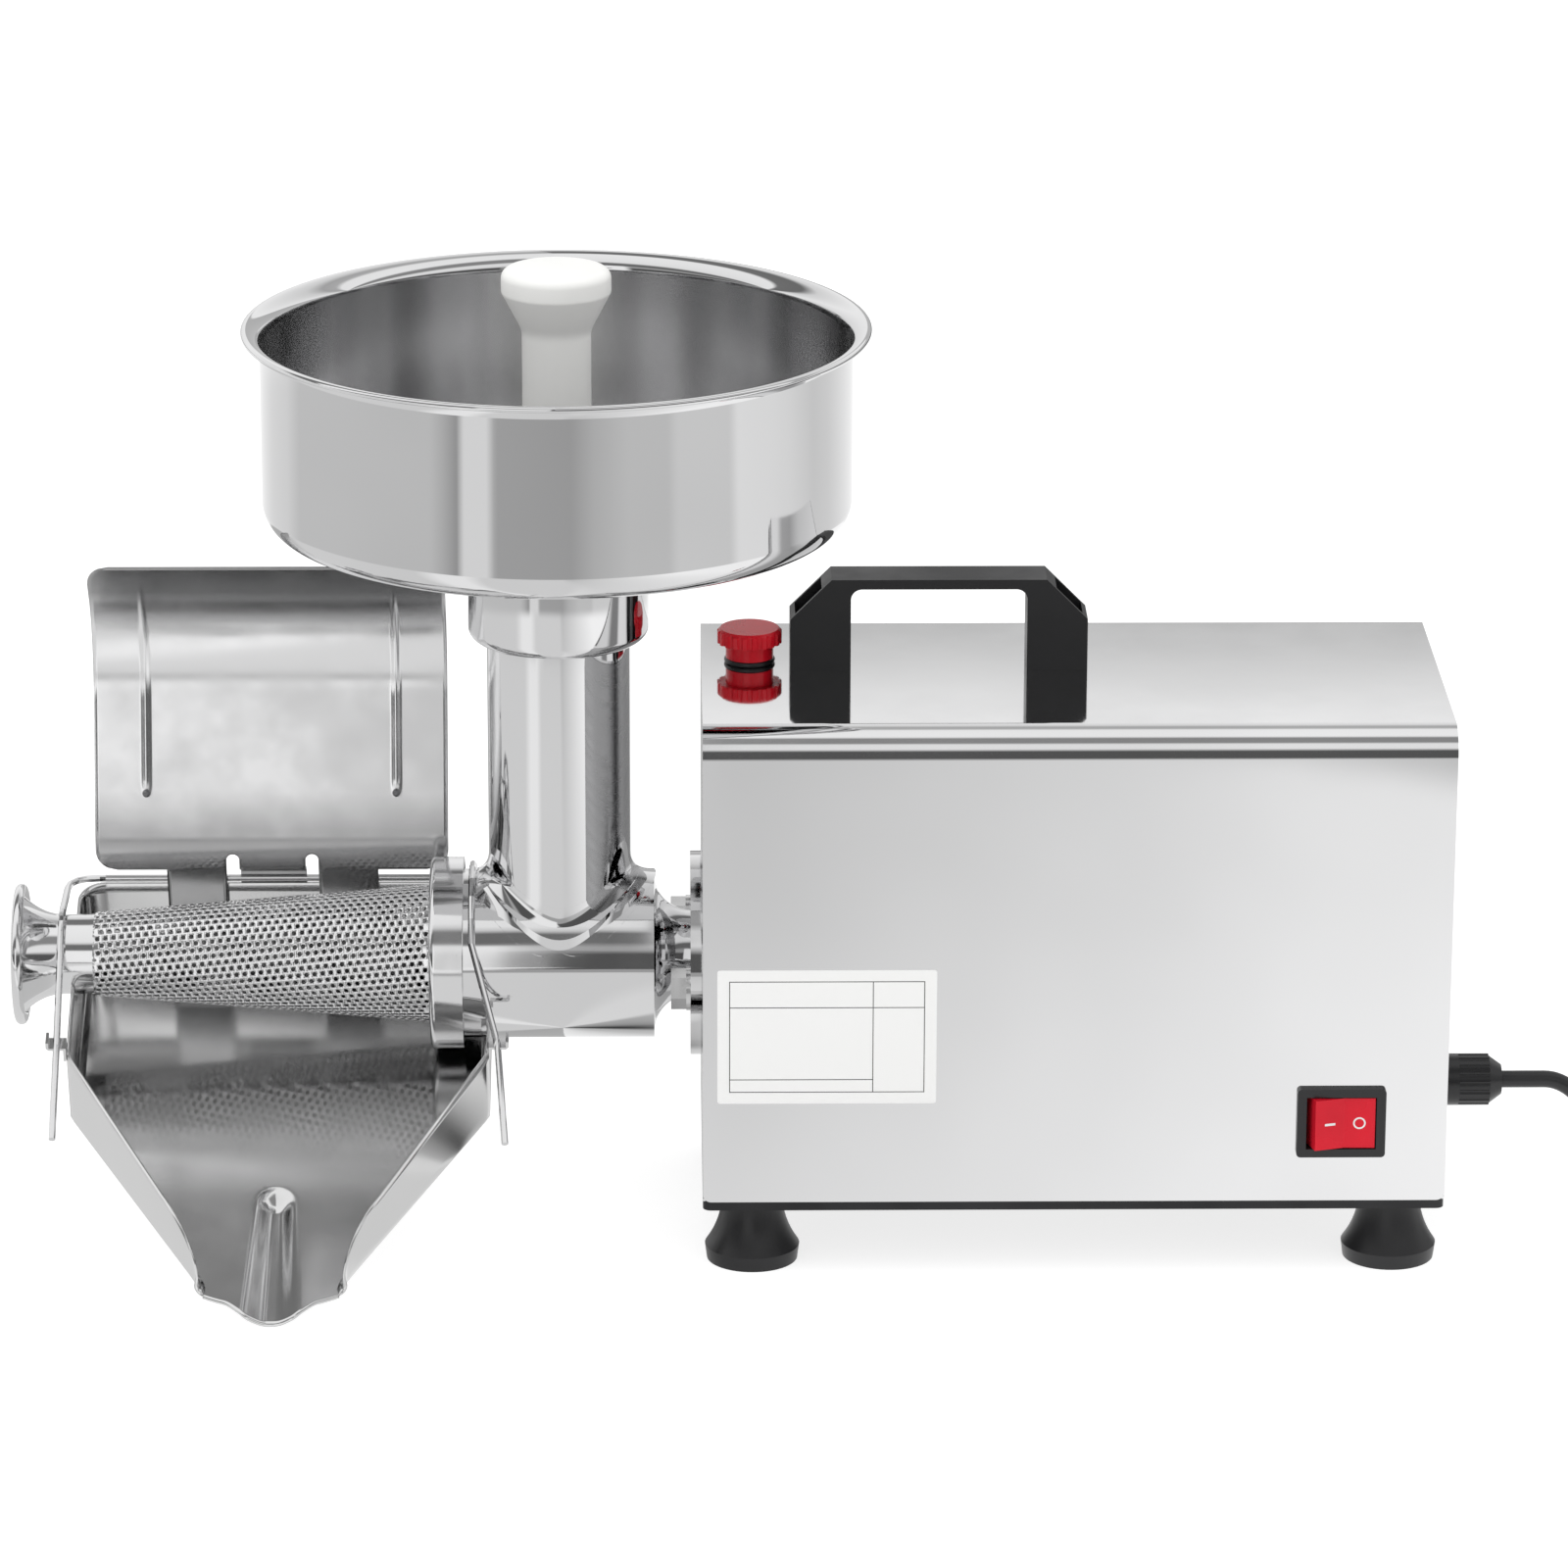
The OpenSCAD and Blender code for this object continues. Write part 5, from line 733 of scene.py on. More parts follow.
def table_panels(tree):
    """Levels that polished faces see on the table: bands round the feed tube near the machine, a sheet in
    front of the housing, other bands further out, a white sheet far to the left and a dark room beyond"""
    place_x, place_y, _ = coordinates(tree)
    centre = machine([-bpy.context.scene.press_hopper.axis, 0, 0])
    x = maths(tree, "SUBTRACT", place_x, float(centre[0]))
    y = maths(tree, "SUBTRACT", float(centre[1]), place_y)
    turn = maths(tree, "MULTIPLY_ADD", maths(tree, "ARCTAN2", x, y), 0.5 / math.pi, 0.5)
    squares = maths(tree, "ADD", maths(tree, "MULTIPLY", x, x), maths(tree, "MULTIPLY", y, y))
    away = maths(tree, "SQRT", squares)
    near, far = (ramp(tree, turn, [((a + 180) / 360, level) for a, level in bands])
                 for bands in (NEAR_BANDS, FAR_BANDS))
    front = mixed(tree, smooth_node(tree, x, *FRONT_SHEET), near, sheet_levels(tree, place_x, place_y))
    panels = mixed(tree, smooth_node(tree, away, *FAR_PANEL), front, far)
    panels = mixed(tree, smooth_node(tree, away, *DARK_ROOM), panels, DARK_LEVEL)
    left = maths(tree, "MULTIPLY", smooth_node(tree, away, *LEFT_SHEET), smooth_node(tree, x, *LEFT_SIDE))
    return mixed(tree, left, panels, 1.0)


def lay_table():
    """White table. The camera sees its glow with the lamp's soft shadow on it, polished faces see the
    panels, and other rays find a plain matt floor"""
    s = bpy.context.scene.press_studio
    mesh = bpy.data.meshes.new("table")
    reach = 6.0
    corners = [(-reach, -reach, 0), (reach, -reach, 0), (reach, reach, 0), (-reach, reach, 0)]
    mesh.from_pydata(corners, [], [(0, 1, 2, 3)])
    table = bpy.data.objects.new("table", mesh)
    bpy.context.scene.collection.objects.link(table)
    made = bpy.data.materials.new("table")
    made.use_nodes = True
    tree = made.node_tree
    tree.nodes.remove(tree.nodes["Principled BSDF"])
    path = tree.nodes.new("ShaderNodeLightPath")
    camera, glossy = path.outputs["Is Camera Ray"], path.outputs["Is Glossy Ray"]
    glow = tree.nodes.new("ShaderNodeEmission")
    lit = mixed(tree, glossy, 1.0 - s.shadow * 0.5, table_panels(tree))
    tree.links.new(lit, glow.inputs["Color"])
    tree.links.new(maths(tree, "MAXIMUM", camera, glossy), glow.inputs["Strength"])
    matt = tree.nodes.new("ShaderNodeBsdfDiffuse")
    tone = mixed(tree, camera, s.floor_tone, s.shadow)
    tree.links.new(mixed(tree, glossy, tone, 0.0), matt.inputs["Color"])
    both = tree.nodes.new("ShaderNodeAddShader")
    for number, shader in enumerate((glow, matt)):
        tree.links.new(shader.outputs[0], both.inputs[number])
    tree.links.new(both.outputs[0], tree.nodes["Material Output"].inputs["Surface"])
    mesh.materials.append(made)


def sheet_levels(tree, x, y):
    """Level that the flat front face sees: it rises to the right by x in metres, and towards the machine
    from a line in front of it"""
    start, line, depth, gain, most = 0.64, 0.68, 0.53, 0.165, 1.1
    rise = maths(tree, "ADD", x, start)
    near = maths(tree, "MULTIPLY_ADD", y, 1 / depth, line / depth)
    return maths(tree, "MINIMUM", maths(tree, "MULTIPLY_ADD", near, gain, rise), most)


def smooth_node(tree, value, start, end):
    """0 below start, 1 above end, smooth between"""
    node = tree.nodes.new("ShaderNodeMapRange")
    node.interpolation_type = "SMOOTHSTEP"
    node.inputs["From Min"].default_value = start
    node.inputs["From Max"].default_value = end
    tree.links.new(value, node.inputs["Value"])
    return node.outputs["Result"]


# Pieces

def arc(centre_x, centre_y, radius, start, end, steps):
    """Points on an arc, from the start to the end angle in degrees"""
    a = np.radians(np.linspace(start, end, steps))
    return np.stack([centre_x + radius * np.cos(a), centre_y + radius * np.sin(a)], 1)


SOLID_FINISHES = {
    "housing sheet": ("housing_wrap",),
    "end plate": ("left_end_plate", "right_end_plate"),
    # the base plate's near black steel is painted shade for the gap under the housing
    "base steel": ("base_plate",),
    "zinc plate": ("motor_cradle", "foot_screws", "handle_screws", "gearbox_bolts", "oil_filler_neck"),
    "foot rubber": ("rubber_feet", "shaft_seal", "oil_cap_ring"),
    "black moulding": ("carry_handle", "gland_lock_nut", "cooling_fan"),
    "black gloss": ("gland_body", "gland_nut", "switch_bezel"),
    "rocker red": ("switch_rocker",),
    "cap red": ("oil_cap",),
    "case enamel": ("gearbox_case", "gearbox_cover"),
    "gasket paper": ("gearbox_gasket",),
    "ground steel": ("output_bearings", "lay_bearings", "motor_bearings", "output_shaft", "lay_shaft",
                     "rotor_shaft", "lay_pinion", "motor_pinion"),
    "gear bronze": ("output_gear", "lay_gear"),
    "bell aluminium": ("motor_front_bell", "motor_rear_bell"),
    "core steel": ("motor_stator", "rotor_core"),
    "capacitor white": ("start_capacitor",),
    "terminal ivory": ("terminal_block",),
    "mirror steel": ("press_body",),
    "ring steel": ("lock_ring",),
    "bright bolt": ("flange_bolts", "flange_washers"),
    "auger steel": ("auger",),
    "seal white": ("screen_gasket",),
    "bail wire": ("wire_bail",),
    "cord rubber": ("plug",),
    "pin nickel": ("plug_pins",),
}


def dress_solids():
    """Gives each solid that shows as it is its finish"""
    for name, nodes in SOLID_FINISHES.items():
        for node in nodes:
            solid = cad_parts[node]
            solid.data.materials.clear()
            solid.data.materials.append(FINISHES[name])


def make_hopper():
    """Pan: flat bottom, round corner, upright wall, flare to the rim and a hem rolled under. Socket: thick
    ring with a round lower edge"""
    h = bpy.context.scene.press_hopper
    sheet, seat = h.sheet, h.seat
    flare = h.rim_radius - h.curl - (h.wall_radius - sheet)
    lift = seat + h.height - flare
    brim = h.rim_radius - h.curl
    hem, hem_share = seat + h.height - h.curl, 0.8
    profile = np.vstack([
        [[h.throat, seat + sheet]],
        arc(h.wall_radius - h.corner, seat + h.corner, h.corner - sheet, -90, 0, 16),
        arc(brim, lift, flare, 180, 90, 16)[:-1],
        arc(brim, hem, h.curl, 90, -90, 12),
        [[brim - h.curl, hem - h.curl * hem_share]],
        arc(brim, lift, flare - sheet, 97, 180, 14),
        arc(h.wall_radius - h.corner, seat + h.corner, h.corner, 0, -90, 16),
        [[h.throat, seat]],
    ])
    points, faces = turned(profile, 256)
    place = upright(-h.axis, 0)
    pan = piece("hopper_pan", place(points), faces, FINISHES["hopper steel"], "hopper", ("hopper_pan",),
                sharp=50)
    for name in ("pan inside", "pan floor"):
        pan.data.materials.append(FINISHES[name])
    # faces on the pan's bottom take the darker copy, painted shade
    pan.data.polygons.foreach_set("material_index", pan_zones(h, pan.data, place([0, 0, 0])))
    low = seat - h.socket_length
    corners = [[h.socket_bore, low], [h.socket_radius, low], [h.socket_radius, seat], [h.socket_bore, seat]]
    foot_bore, foot_edge, top_edge = 0.6, 4.5, 0.2
    points, faces = turned(rounded(corners, [foot_bore, foot_edge, top_edge, top_edge], 10), 160)
    piece("hopper_socket", place(points), faces, FINISHES["mirror steel"], "hopper", ("hopper_socket",),
          sharp=50)


def pan_zones(h, mesh, axis):
    """Material number of each face of the pan: 2 where it faces up at the bottom, 1 where it faces the
    axis below the flare, otherwise 0"""
    level, inward = 0.9, -0.05
    flare = h.rim_radius - h.curl - (h.wall_radius - h.sheet)
    centre, normal = (np.zeros(3 * len(mesh.polygons)) for _ in range(2))
    mesh.polygons.foreach_get("center", centre)
    mesh.polygons.foreach_get("normal", normal)
    out, normal = centre.reshape(-1, 3) - axis, normal.reshape(-1, 3)
    facing = (out[:, :2] * normal[:, :2]).sum(1) / np.linalg.norm(out[:, :2], axis=1)
    bottom = (normal[:, 2] > level) & (out[:, 2] < (h.seat + h.corner) * MM)
    inside = (facing < inward) & (out[:, 2] < (h.seat + h.height - flare) * MM)
    return np.where(bottom, 2, inside).astype(np.int32)


def make_pusher():
    """Moulded pusher: foot, tapered neck, shaft and flared head, every corner turned on a small radius"""
    p, h = bpy.context.scene.press_pusher, bpy.context.scene.press_hopper
    foot, neck, flare, brim = 10.0, 24.0, 22.5, 8.5
    corners = [[0, p.bottom], [p.foot_radius, p.bottom], [p.foot_radius, p.bottom + foot],
               [p.shaft_radius, p.bottom + neck], [p.shaft_radius, p.top - flare],
               [p.head_radius, p.top - brim], [p.head_radius, p.top], [0, p.top]]
    radii = [1, 1.2, 1.2, 3, 9, 2.5, 3.5, 1]
    points, faces = turned(rounded(corners, radii, 8, closed=False), 128, closed=False)
    piece("pusher", upright(-h.axis, 0)(points), faces, FINISHES["pusher white"], "plunger", ("pusher",),
          sharp=60)


def make_cone():
    """Perforated sheet: a flat lattice of cells, each with twelve corners on its rim and twelve on its
    hole, cut to a fan and rolled up, so that the distance from the fan's tip gives the place along the
    cone and the angle round the tip gives the angle round the cone. A hole that would cross the fan's
    edge stays closed by a plug"""
    c = bpy.context.scene.press_screen
    lean = math.atan((c.big_radius - c.small_radius) / (c.cone_end - c.cone_start))
    outer, inner = c.big_radius / math.sin(lean), c.small_radius / math.sin(lean)
    reach = math.pi * math.sin(lean)
    step_x, step_y = c.pitch, c.pitch * math.sqrt(0.75)
    rows = int(2 * outer * math.sin(reach) / step_y) + 3
    columns = int((outer - inner * math.cos(reach)) / step_x) + 2
    row, column = (grid.ravel() for grid in np.meshgrid(np.arange(rows), np.arange(columns), indexing="ij"))
    x = inner * math.cos(reach) + (column + (row % 2) / 2) * step_x
    y = (rows / 2 - row) * step_y
    edge = np.linspace(-0.5, 0.5, 5)
    rim_x = np.concatenate([np.full(5, -0.5), [0.0], np.full(5, 0.5), [0.0]])
    rim_y = np.concatenate([edge, [0.5], -edge, [-0.5]])
    turn = np.arctan2(rim_y, rim_x)
    hole = np.stack([np.sin(turn), -np.cos(turn)], 1) * c.hole / 2
    square = np.stack([rim_y * step_x, -rim_x * step_y], 1)
    cell = np.stack([x, y], 1)[:, None]
    far, side = np.hypot(x, y), np.arctan2(y, x)
    low, high = inner + c.margin, outer - c.margin
    keep = (far > low - c.pitch) & (far < high + c.pitch) & (np.abs(side) < reach + c.pitch / far)
    end_share, seam_share = 0.4, 0.5
    whole = (far > low + end_share * c.hole) & (far < high - end_share * c.hole)
    opened = (whole & (np.abs(side) < reach - seam_share * c.hole / far))[keep]

    flat = np.concatenate([cell + square, cell + hole], 1)[keep]
    rho = np.clip(np.hypot(flat[..., 0], flat[..., 1]), low, high)
    angle = np.clip(np.arctan2(flat[..., 1], flat[..., 0]), -reach, reach) / math.sin(lean)
    radius, along = rho * math.sin(lean), c.cone_start + (outer - rho) * math.cos(lean)
    corners = np.stack([radius * np.cos(angle), radius * np.sin(angle), along], -1).reshape(-1, 3)
    sides, sliver, least_plug = len(turn), 0.002, 0.8
    first = np.arange(len(flat))[:, None, None] * 2 * sides
    i = np.arange(sides)
    on = (i + 1) % sides
    quads = (np.stack([i, on, sides + on, sides + i], 1) + first).reshape(-1, 4)
    plugs = (i + sides + first[:, 0])[~opened]
    plugs = plugs[np.linalg.norm(corners[plugs].max(1) - corners[plugs].min(1), axis=1) > least_plug]
    faces = wide_quads(corners, quads, sliver).tolist() + plugs.tolist()
    piece("perforated_cone", head(corners), faces, FINISHES["screen steel"], "root", ("screen_cone",),
          sharp=30, wall=c.screen, closed=False)


def make_cone_ends():
    """The flange in front of the cone and the collar behind it, each a turned profile that holds the
    perforated sheet's plain border between its two faces"""
    c = bpy.context.scene.press_screen
    proud, spare = 0.06, 0.4
    lean = math.atan((c.big_radius - c.small_radius) / (c.cone_end - c.cone_start))
    overlap = (c.margin + spare) * math.cos(lean)
    drop = overlap * math.tan(lean)
    big, big_bore, edge = c.big_radius + proud, c.big_radius - c.sheet, c.cone_start + overlap
    small, small_bore, start = c.small_radius + proud, c.small_radius - c.sheet, c.cone_end - overlap
    flange = [[big_bore, c.start], [c.flange_radius, c.start], [c.flange_radius, c.cone_start],
              [big, c.cone_start], [big - drop, edge], [big_bore - proud - drop, edge]]
    collar = [[small + drop, start], [small, c.cone_end], [c.small_radius, c.collar_end],
              [small_bore, c.collar_end], [small_bore - proud, c.cone_end],
              [small_bore - proud + drop, start]]
    points, faces = joined(*[turned(np.array(profile), 128) for profile in (flange, collar)])
    piece("cone_end_rings", head(points), faces, FINISHES["ring steel"], "root", ())


def make_outlet():
    """Waste outlet: short neck, flare on an arc, and a rim rolled outwards"""
    c = bpy.context.scene.press_screen
    radius, reach, sheet, roll, neck = 25.8, 22.0, 1.0, 2.0, 4.0
    inner_share, roll_start = 0.97, -118
    wide = radius - 2 * roll + sheet - c.small_radius
    run = reach - neck - roll
    bend = (wide * wide + run * run) / (2 * wide)
    sweep = math.degrees(math.asin(run / bend))
    middle = c.small_radius + bend
    outside = arc(middle, neck, bend, 180, 180 - sweep, 16)
    inside = arc(middle, neck, bend + sheet, 180 - sweep * inner_share, 180, 16)
    rim = arc(radius - roll, reach - roll, roll, roll_start, 180, 36)
    foot = c.small_radius - sheet
    profile = np.vstack([[[c.small_radius, 0]], outside[:-1], rim, inside[1:], [[foot, 0]]])
    points, faces = turned(profile + [0, c.collar_end], 128)
    piece("waste_outlet", head(points), faces, FINISHES["ring steel"], "root", ("waste_outlet",),
          sharp=50)


def make_joint():
    """Fillet where the feed tube meets the barrel: at angle a round the tube a curve runs from the tube's
    wall through the corner to the barrel"""
    tube, barrel, width = 26.0, 31.0, 9.0
    crotch_share, inner_share, wall, play = 0.35, 0.97, 1.0, 0.02
    axis = bpy.context.scene.press_hopper.axis
    a = np.linspace(0, 2 * math.pi, 192, endpoint=False)
    t = np.linspace(0, 1, 13)[None, :, None]
    side, along = np.sin(a), np.cos(a)

    def on_barrel(radius):
        """The place on the barrel under a circle of this radius round the tube"""
        y = np.clip(radius * side, -barrel + play, barrel - play)
        return np.stack([np.sqrt(barrel ** 2 - y ** 2), y, axis + radius * along], 1)

    corner = on_barrel(tube)
    up = corner + np.array([width, 0, 0])
    down = on_barrel(tube + width * (crotch_share + (1 - crotch_share) * np.abs(along)))
    line = (1 - t) ** 2 * up[:, None] + 2 * (1 - t) * t * corner[:, None] + t ** 2 * down[:, None]
    back = np.stack([corner[:, 0] - wall, corner[:, 1] * inner_share,
                     axis + (corner[:, 2] - axis) * inner_share], 1)
    points = np.concatenate([line, back[:, None]], 1)
    faces = grid_faces(len(a), points.shape[1], close_rows=True, close_columns=True)
    piece("tube_joint", head(points.reshape(-1, 3)), faces, FINISHES["mirror steel"], "root", (),
          sharp=50)


# Tray, in millimetres: half widths of the notches for barrel and outlet, where the walls start to curve down
# and how far their top then lies under the press axis, where the rows start to follow the lip, and the rise
# of the rear wall over the axis
BARREL_NOTCH, OUTLET_NOTCH = 31.8, 15.4
CURVE_PLACE, CURVE_DROP, LIP_ROWS, REAR_RISE = 115.0, 15.0, 130.0, 1.0
# The bail's bar behind the tray, in the tray's frame: place, bore and outside of the knuckles round it, and
# how far to the left of the tray's middle it and the guard stand
BAR_Y, BAR_Z, BAR_BORE, KNUCKLE_RADIUS, BAR_SHIFT = 38.1, 4.0, 1.4, 2.4, 4.4


def tray_shape(t, y):
    """Half width of the floor inside the bend at each place down the slope"""
    inset = t.sheet + t.bend
    lean = math.atan((t.width - t.lip_width) / 2 / (t.lip - t.shoulder))
    wide = t.width / 2 - inset
    knee = -t.shoulder + inset * math.tan(lean / 2)
    curve = t.corner - inset
    middle = t.rear - t.corner
    half = np.where(y < knee, wide - (knee - y) * math.tan(lean), wide)
    round_corner = wide - curve + np.sqrt(np.maximum(curve ** 2 - np.maximum(y - middle, 0) ** 2, 0))
    return np.where(y > middle, round_corner, half)


def wall_top(t, y, notch):
    """Height of the tray's walls from the press axis: straight lines, then an arc down towards the lip,
    lowered where the barrel or the outlet lies in its notch"""
    places, heights = [-CURVE_PLACE, -t.shoulder, 0.0, t.rear], [-CURVE_DROP, -6.0, -1.0, REAR_RISE]
    drop = t.depth - CURVE_DROP
    front = np.sqrt(np.maximum(drop ** 2 - np.minimum(y + CURVE_PLACE, 0) ** 2, 0)) - t.depth
    top = np.where(y < -CURVE_PLACE, front, np.interp(y, places, heights))
    cut = -np.sqrt(np.maximum(notch ** 2 - y ** 2, 0))
    return np.where(np.abs(y) < notch, np.minimum(top, cut), top)


def tray_rows(t):
    """Places of the floor's rows down the slope: even ones, and more for the notches, corners and curves"""
    inset, play, closest = t.sheet + t.bend, 0.05, 0.12
    back = t.rear - inset
    marks = [
        np.linspace(back, -LIP_ROWS, 90),
        (BARREL_NOTCH - play) * np.cos(np.linspace(0, math.pi, 40)),
        (OUTLET_NOTCH - play) * np.cos(np.linspace(0, math.pi, 28)),
        t.rear - t.corner + (t.corner - inset) * np.sin(np.linspace(0, math.pi / 2, 9)),
        -CURVE_PLACE - (t.depth - CURVE_DROP) * np.sin(np.linspace(0, 0.9, 7)),
    ]
    y = np.unique(np.round(np.concatenate(marks), 2))[::-1]
    y = y[(y <= back) & (y >= -LIP_ROWS)]
    return y[np.append(True, -np.diff(y) > closest)]


def tray_floor(t):
    """Floor grid: level rows between the walls, then rows that bend to the bowed lip and its tongue. The
    channel is pressed in by a smooth step of the distance from its middle line"""
    across = np.linspace(-1, 1, 97)
    y = tray_rows(t)
    sag, lip_inset, tongue, tongue_half, tongue_run = 7.0, 1.2, 5.0, 17.0, 10.0
    chord = t.lip_width / 2
    bow = (chord ** 2 + sag ** 2) / (2 * sag)
    x_end = tray_shape(t, np.array([-t.lip]))[0] * across
    x_lip = x_end * (chord - lip_inset) / x_end[-1]
    lip = -t.lip - sag + bow - np.sqrt(bow ** 2 - x_lip ** 2)
    lip = lip - tongue * smooth_step((tongue_half - np.abs(x_lip)) / tongue_run)
    end = np.linspace(0, 1, 13)[1:, None]
    half = tray_shape(t, -LIP_ROWS + end * (LIP_ROWS - t.lip))
    bent_x = (half * (1 - end ** 3) + x_lip[-1] * end ** 3) * across
    bent_y = -LIP_ROWS + end * (lip + LIP_ROWS)
    x = np.vstack([tray_shape(t, y)[:, None] * across, bent_x])
    y = np.vstack([np.repeat(y[:, None], len(across), 1), bent_y])

    past_lip, narrow_half, round_end, steep, lead = 12.0, 7.5, 9.0, 1.12, 0.02
    start = -(t.lip + past_lip)
    run = np.clip((y - start) / t.channel_length, 0, 1)
    groove = t.channel / 2 * (1 - run) + narrow_half * run
    past = np.maximum(y - (start + t.channel_length), 0) / round_end
    dent = t.channel_depth * smooth_step(steep * (1 - np.hypot(x / groove, past)) + lead)
    return np.stack([x, y, -t.depth - dent], -1)


def tray_wall(t, floor):
    """Wall grid round the floor from lip to lip: each column turns up on the bend radius, by the angle that
    reaches the wall's top, and then goes on straight"""
    least = 0.35
    path = np.vstack([floor[::-1, 0], floor[0, 1:-1], floor[:, -1]])
    ahead = np.gradient(path[:, :2], axis=0)
    ahead /= np.linalg.norm(ahead, axis=1, keepdims=True)
    out = np.stack([-ahead[:, 1], ahead[:, 0]], 1)
    notch = np.where(path[:, 0] > 0, BARREL_NOTCH, OUTLET_NOTCH)
    notch = np.where(path[:, 1] > t.rear - t.corner, 0.0, notch)
    top = wall_top(t, path[:, 1] + out[:, 1] * t.bend, notch)
    top = np.where(path[:, 1] > path[:, 1].max() - 0.01, REAR_RISE, top)
    top = np.maximum(top + t.depth, least)
    bend = np.arccos(1 - np.minimum(top, t.bend * 0.999) / t.bend)
    turn = bend[:, None] * np.linspace(0, 1, 7)[1:]
    straight = np.maximum(top - t.bend, 0)[:, None] * np.linspace(0, 1, 9)[1:]
    aside, rise = t.bend * np.sin(turn), t.bend * (1 - np.cos(turn))
    aside = np.hstack([np.zeros((len(path), 1)), aside, np.repeat(aside[:, -1:], 8, 1)])
    rise = np.hstack([np.zeros((len(path), 1)), rise, rise[:, -1:] + straight])
    flat = path[:, None, :2] + out[:, None] * aside[..., None]
    return np.concatenate([flat, (path[:, 2:] + rise)[..., None]], -1)


def make_tray():
    """Sheet tray: floor grid with a pressed pouring channel, and walls that rise from it on one radius"""
    t = bpy.context.scene.press_tray
    floor = tray_floor(t)
    wall = tray_wall(t, floor)
    points, faces = joined((floor.reshape(-1, 3), grid_faces(*floor.shape[:2])),
                           (wall.reshape(-1, 3), grid_faces(*wall.shape[:2])[:, ::-1]))
    faces = wide_quads(points, faces)
    piece("juice_tray", tray_place(points), faces, FINISHES["satin sheet"], "root", ("juice_tray",),
          sharp=50, wall=t.sheet, closed=False)


def make_tray_fittings():
    """Two knuckles, each a strip curled round the bar behind the tray, pulled along x, and two ears beside
    the walls that hold the bail's ends, pulled along y"""
    t = bpy.context.scene.press_tray
    apart, half, foot, step = 28.0, 8.5, -2.0, 1.0
    curl = np.vstack([[[t.rear, foot], [t.rear - step, foot]], arc(BAR_Y, BAR_Z, BAR_BORE, -8, 250, 20),
                      arc(BAR_Y, BAR_Z, KNUCKLE_RADIUS, 250, 0, 24)])
    middles = (-apart - BAR_SHIFT, apart - BAR_SHIFT)
    points, faces = join_lists(*[prism(curl, middle - half, middle + half) for middle in middles])
    piece("tray_knuckles", tray_place(points), faces, FINISHES["satin sheet"], "root", ())
    reach, low, high, edge, sheet = 5.2, -9.0, -4.0, -0.4, t.sheet
    wall, out = t.width / 2 - sheet, t.width / 2 + reach
    ear = np.array([[wall, low], [wall + sheet, low], [wall + sheet, high], [out, high],
                    [out + sheet, high + sheet], [out + sheet, edge], [out, edge], [out, high + sheet],
                    [wall, high + sheet]])
    ear_start, ear_end = -49.0, -43.0
    points, faces = prism(ear, ear_start, ear_end)
    ears = [(np.stack([points[:, 1] * side, points[:, 0], points[:, 2]], 1), faces) for side in (-1, 1)]
    points, faces = join_lists(*ears)
    piece("bail_ears", tray_place(points), faces, FINISHES["satin sheet"], "root", ())


def lean_curve(start, first, last, radius, steps):
    """Points on a bend in (y, z): the heading swings from the first lean to the last"""
    a = first + (last - first) * np.linspace(0, 1, steps + 1)[1:]
    side = 1.0 if last > first else -1.0
    return start + side * radius * np.stack([np.cos(a) - math.cos(first), np.sin(a) - math.sin(first)], 1)


def lean_line(start, lean, long, steps):
    """Points on a straight run in (y, z) that leans forward by the given angle"""
    return start + np.linspace(0, long, steps + 1)[1:, None] * np.array([-math.sin(lean), math.cos(lean)])


# Guard, in millimetres from its middle: slot, outer edge of a tab, rib and the zone round it, and where the
# columns start to spread to the outline. Along the sheet from the lower edge: height of the slot's
# straight sides, where the rows are even again, and where the rib starts
SLOT_MIDDLE, SLOT_HALF, TAB_EDGE, RIB_MIDDLE, RIB_ZONE, EDGE_ZONE = 14.6, 2.4, 39.0, 46.0, 3.0, 57.0
SLOT_HEIGHT, EVEN_HEIGHT, RIB_START = 4.0, 10.0, 29.0


def tray_point(y, n):
    """A place in the tray's frame, y up the slope and n square to its floor, as (y, z) on the machine"""
    tilt = bpy.context.scene.press_tray.tilt
    c, s = math.cos(tilt), math.sin(tilt)
    return np.array([y * c - n * s, y * s + n * c + AXIS_HEIGHT])


def guard_profile(g):
    """Side view of the guard's tabs and plate as points in (y, z): straight tab, bend, plate that leans
    forward at its foot and back above, broad swing, leaning strip. Returned with the length along the sheet
    from the plate's lower edge, and the number of the point there"""
    tilt = bpy.context.scene.press_tray.tilt
    back, over = -g.lean_back, g.lean_over
    gap, tab_top, tab_bend, sharp_bend = 0.4, 10.1, 8.0, 15.0
    line = tray_point(BAR_Y - KNUCKLE_RADIUS - gap - g.sheet, tab_top - g.tab_length)[None]
    line = np.vstack([line, lean_line(line[-1], tilt, g.tab_length, 12)])
    line = np.vstack([line, lean_curve(line[-1], tilt, g.lean_foot, tab_bend, 6)])
    edge = len(line) - 1
    slack = (g.bend - sharp_bend) * math.tan((over - back) / 2)
    foot_bend = g.foot / (g.lean_foot - back)
    line = np.vstack([line, lean_curve(line[-1], g.lean_foot, back, foot_bend, round(g.foot))])
    line = np.vstack([line, lean_line(line[-1], back, g.plate - g.foot - slack, 34)])
    line = np.vstack([line, lean_curve(line[-1], back, over, g.bend, 28)])
    line = np.vstack([line, lean_line(line[-1], over, g.strip - slack, 16)])
    run = np.concatenate([[0.0], np.cumsum(np.linalg.norm(np.diff(line, axis=0), axis=1))])
    return line, run - run[edge], edge


